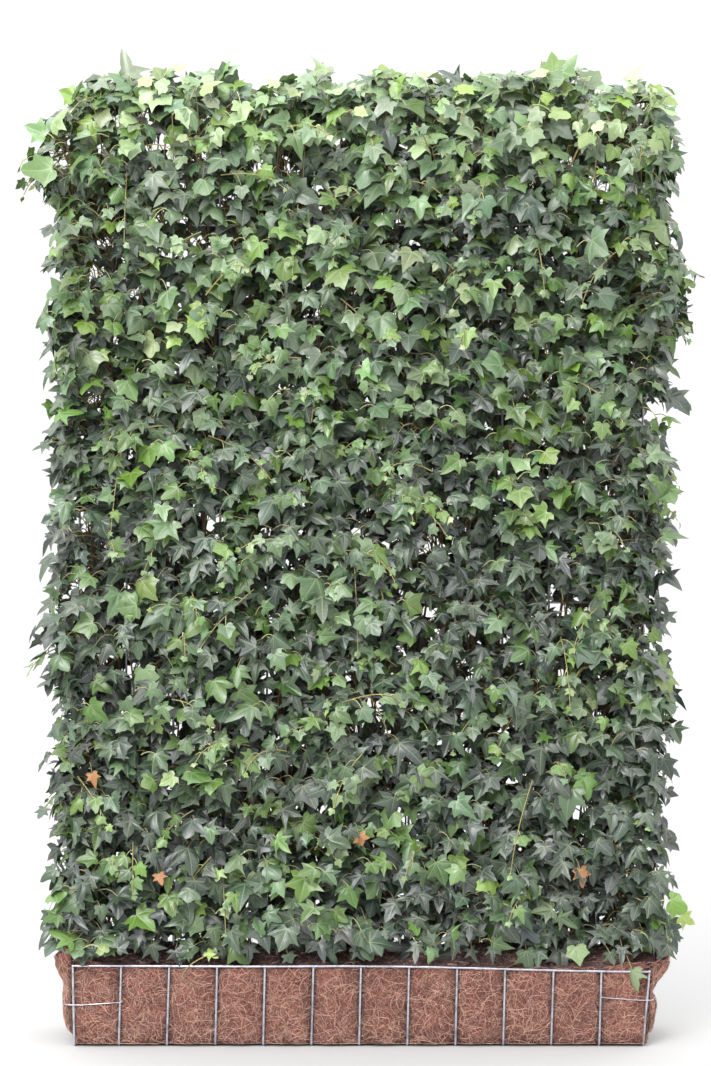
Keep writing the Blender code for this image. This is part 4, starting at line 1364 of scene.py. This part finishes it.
def add_dead_leaves(work, count):
    spots = soil_spots(count)
    heading = rng.uniform(0, 2 * np.pi, count)
    tip = np.stack([np.cos(heading), np.sin(heading), rng.normal(0, 0.15, count)], -1)
    normal = np.stack([rng.normal(0, 0.35, count), rng.normal(-0.25, 0.35, count), np.ones(count)], -1)
    tint = with_chance(mix((0.09, 0.04, 0.03), (0.27, 0.13, 0.085), rng.random((count, 1))))
    size, lobing = rng.uniform(0.020, 0.042, count), rng.random(count)
    add_blades(work, spots + UP * 0.004, tip, normal, size, tint, lobing, (0.68, 0.80), slot=2)


def add_fibres(work, count):
    """Pale fibres that lie over the soil."""
    spots = soil_spots(count)
    heading = rng.uniform(0, 2 * np.pi, count)
    length = rng.uniform(0.008, 0.045, count)
    way = [np.cos(heading), 0.5 * np.sin(heading), rng.normal(0.05, 0.12, count)]
    way = np.stack(way, -1) * length[:, None]
    bend = rng.normal(0, 0.25, (count, 3)) * length[:, None]
    start = spots + UP * 0.0015
    end = start + way
    end[:, 2] = np.maximum(end[:, 2], soil_height(end[:, 0], end[:, 1]) + 0.001)
    path = curves(start, start + way * 0.3 + bend, end - way * 0.3 + bend * 0.5, end, 6)
    path[..., 2] = np.maximum(path[..., 2], soil_height(path[..., 0], path[..., 1]) + 0.0006)
    tint = with_chance(mix((0.10, 0.05, 0.035), (0.62, 0.42, 0.30), rng.beta(1.2, 1.8, (count, 1))))
    add_tubes(work, path, rng.uniform(0.0003, 0.0008, (count, 1)), 4, tint, (0.82, 1.0), slot=3)


def make_soil(materials):
    work = Patchwork()
    add_ground(work)
    add_chips(work, 2600)
    add_dead_leaves(work, 30)
    add_fibres(work, 420)
    piece = work.build("soil_surface", materials)
    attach(piece, "root")
    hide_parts("potting_soil")


# ---------------------------------------------------------------- floor, light and camera

SKY_LOW, SKY_HIGH = 0.25, 2.25
BACKDROP = 1.05
KEY_POWER = 196
KEY_SIZE = (2.6, 2.0)
KEY_PLACE, KEY_TARGET = (-2.0, -3.8, 3.4), (0.0, 0.0, 1.1)
FLOOR_GREY = 0.53


def make_stage():
    bpy.ops.mesh.primitive_plane_add(size=160.0, location=(0, 0, CAD_BOX[0][2] - 0.0005))
    floor = bpy.context.object
    floor.name = "floor"
    grey = (FLOOR_GREY, FLOOR_GREY, FLOOR_GREY, 1.0)
    floor.data.materials.append(new_material("pale_floor").finish(grey, 0.9, Specular_IOR_Level=0.1))


def make_world():
    """Soft studio light from above, with a white backdrop behind the hedge."""
    world = bpy.data.worlds.new("studio")
    bpy.context.scene.world = world
    n = Nodes(world)
    _, y, z = n.split(n.node("ShaderNodeTexCoord").outputs["Generated"])
    sky = n.span(z, 0.05, 0.65, SKY_LOW, SKY_HIGH)
    wall = n.span(y, 0.90, 0.955, 0.0, BACKDROP)
    seen = n.times(n.node("ShaderNodeLightPath").outputs["Is Camera Ray"], BACKDROP)
    strength = n.math("MAXIMUM", n.math("MAXIMUM", sky, wall), seen)
    n.set(n.tree.nodes["Background"], Color=(1.0, 1.0, 1.0, 1.0), Strength=strength)


def make_light():
    """One soft key light from the upper left, aimed at the middle of the hedge."""
    make_world()
    light = bpy.data.lights.new("key", "AREA")
    light.shape = "RECTANGLE"
    light.size, light.size_y = KEY_SIZE
    light.energy = KEY_POWER
    key = bpy.data.objects.new("key", light)
    key.location = KEY_PLACE
    x, y, z = np.array(KEY_TARGET) - np.array(KEY_PLACE)
    key.rotation_euler = (math.pi / 2 + math.atan2(z, math.hypot(x, y)), 0.0, math.atan2(y, x) - math.pi / 2)
    bpy.context.scene.collection.objects.link(key)
    bpy.context.scene.view_settings.view_transform = "Standard"
    bpy.context.scene.view_settings.look = "None"


def make_camera():
    data = bpy.data.cameras.new("camera")
    data.sensor_width = SENSOR
    data.lens = SENSOR * VIEW_DISTANCE / FRAME_HEIGHT
    camera = bpy.data.objects.new("camera", data)
    camera.location = (VIEW_SIDE, BASKET[0, 1] - VIEW_DISTANCE, VIEW_HEIGHT)
    camera.rotation_euler = (math.pi / 2, 0.0, 0.0)
    bpy.context.scene.collection.objects.link(camera)
    bpy.context.scene.camera = camera


def main():
    make_camera()
    make_light()
    make_stage()
    blade, bark, steel = leaf_material(), bark_material(), steel_material()
    stalk = grained_material("ivy_stalk", (420.0, 2.0), (0.20, 0.13, 0.05), 0.4, 0.42, 0.2, 0.0004, 0.2)
    strand = grained_material("coir_strand", (500.0, 2.0), (0.14, 0.06, 0.045), 0.35, 0.7, 0.3, 0.0004)
    chip = grained_material("bark_chip", (380.0, 3.0), (0.05, 0.028, 0.02), 0.6, 0.9, 0.6, 0.001)
    paths = stem_paths()
    foliage = make_foliage(paths)
    make_leaf_pieces(foliage, blade, stalk)
    make_stem_pieces(paths, foliage, bark, stalk)
    make_basket(steel)
    make_trellis(steel)
    make_stay("left_stay_wire", "left_end_stay", -1, steel)
    make_stay("right_stay_wire", "right_end_stay", 1, steel)
    make_liner(coir_material(), strand)
    make_soil([soil_material(), chip, blade, strand])


main()
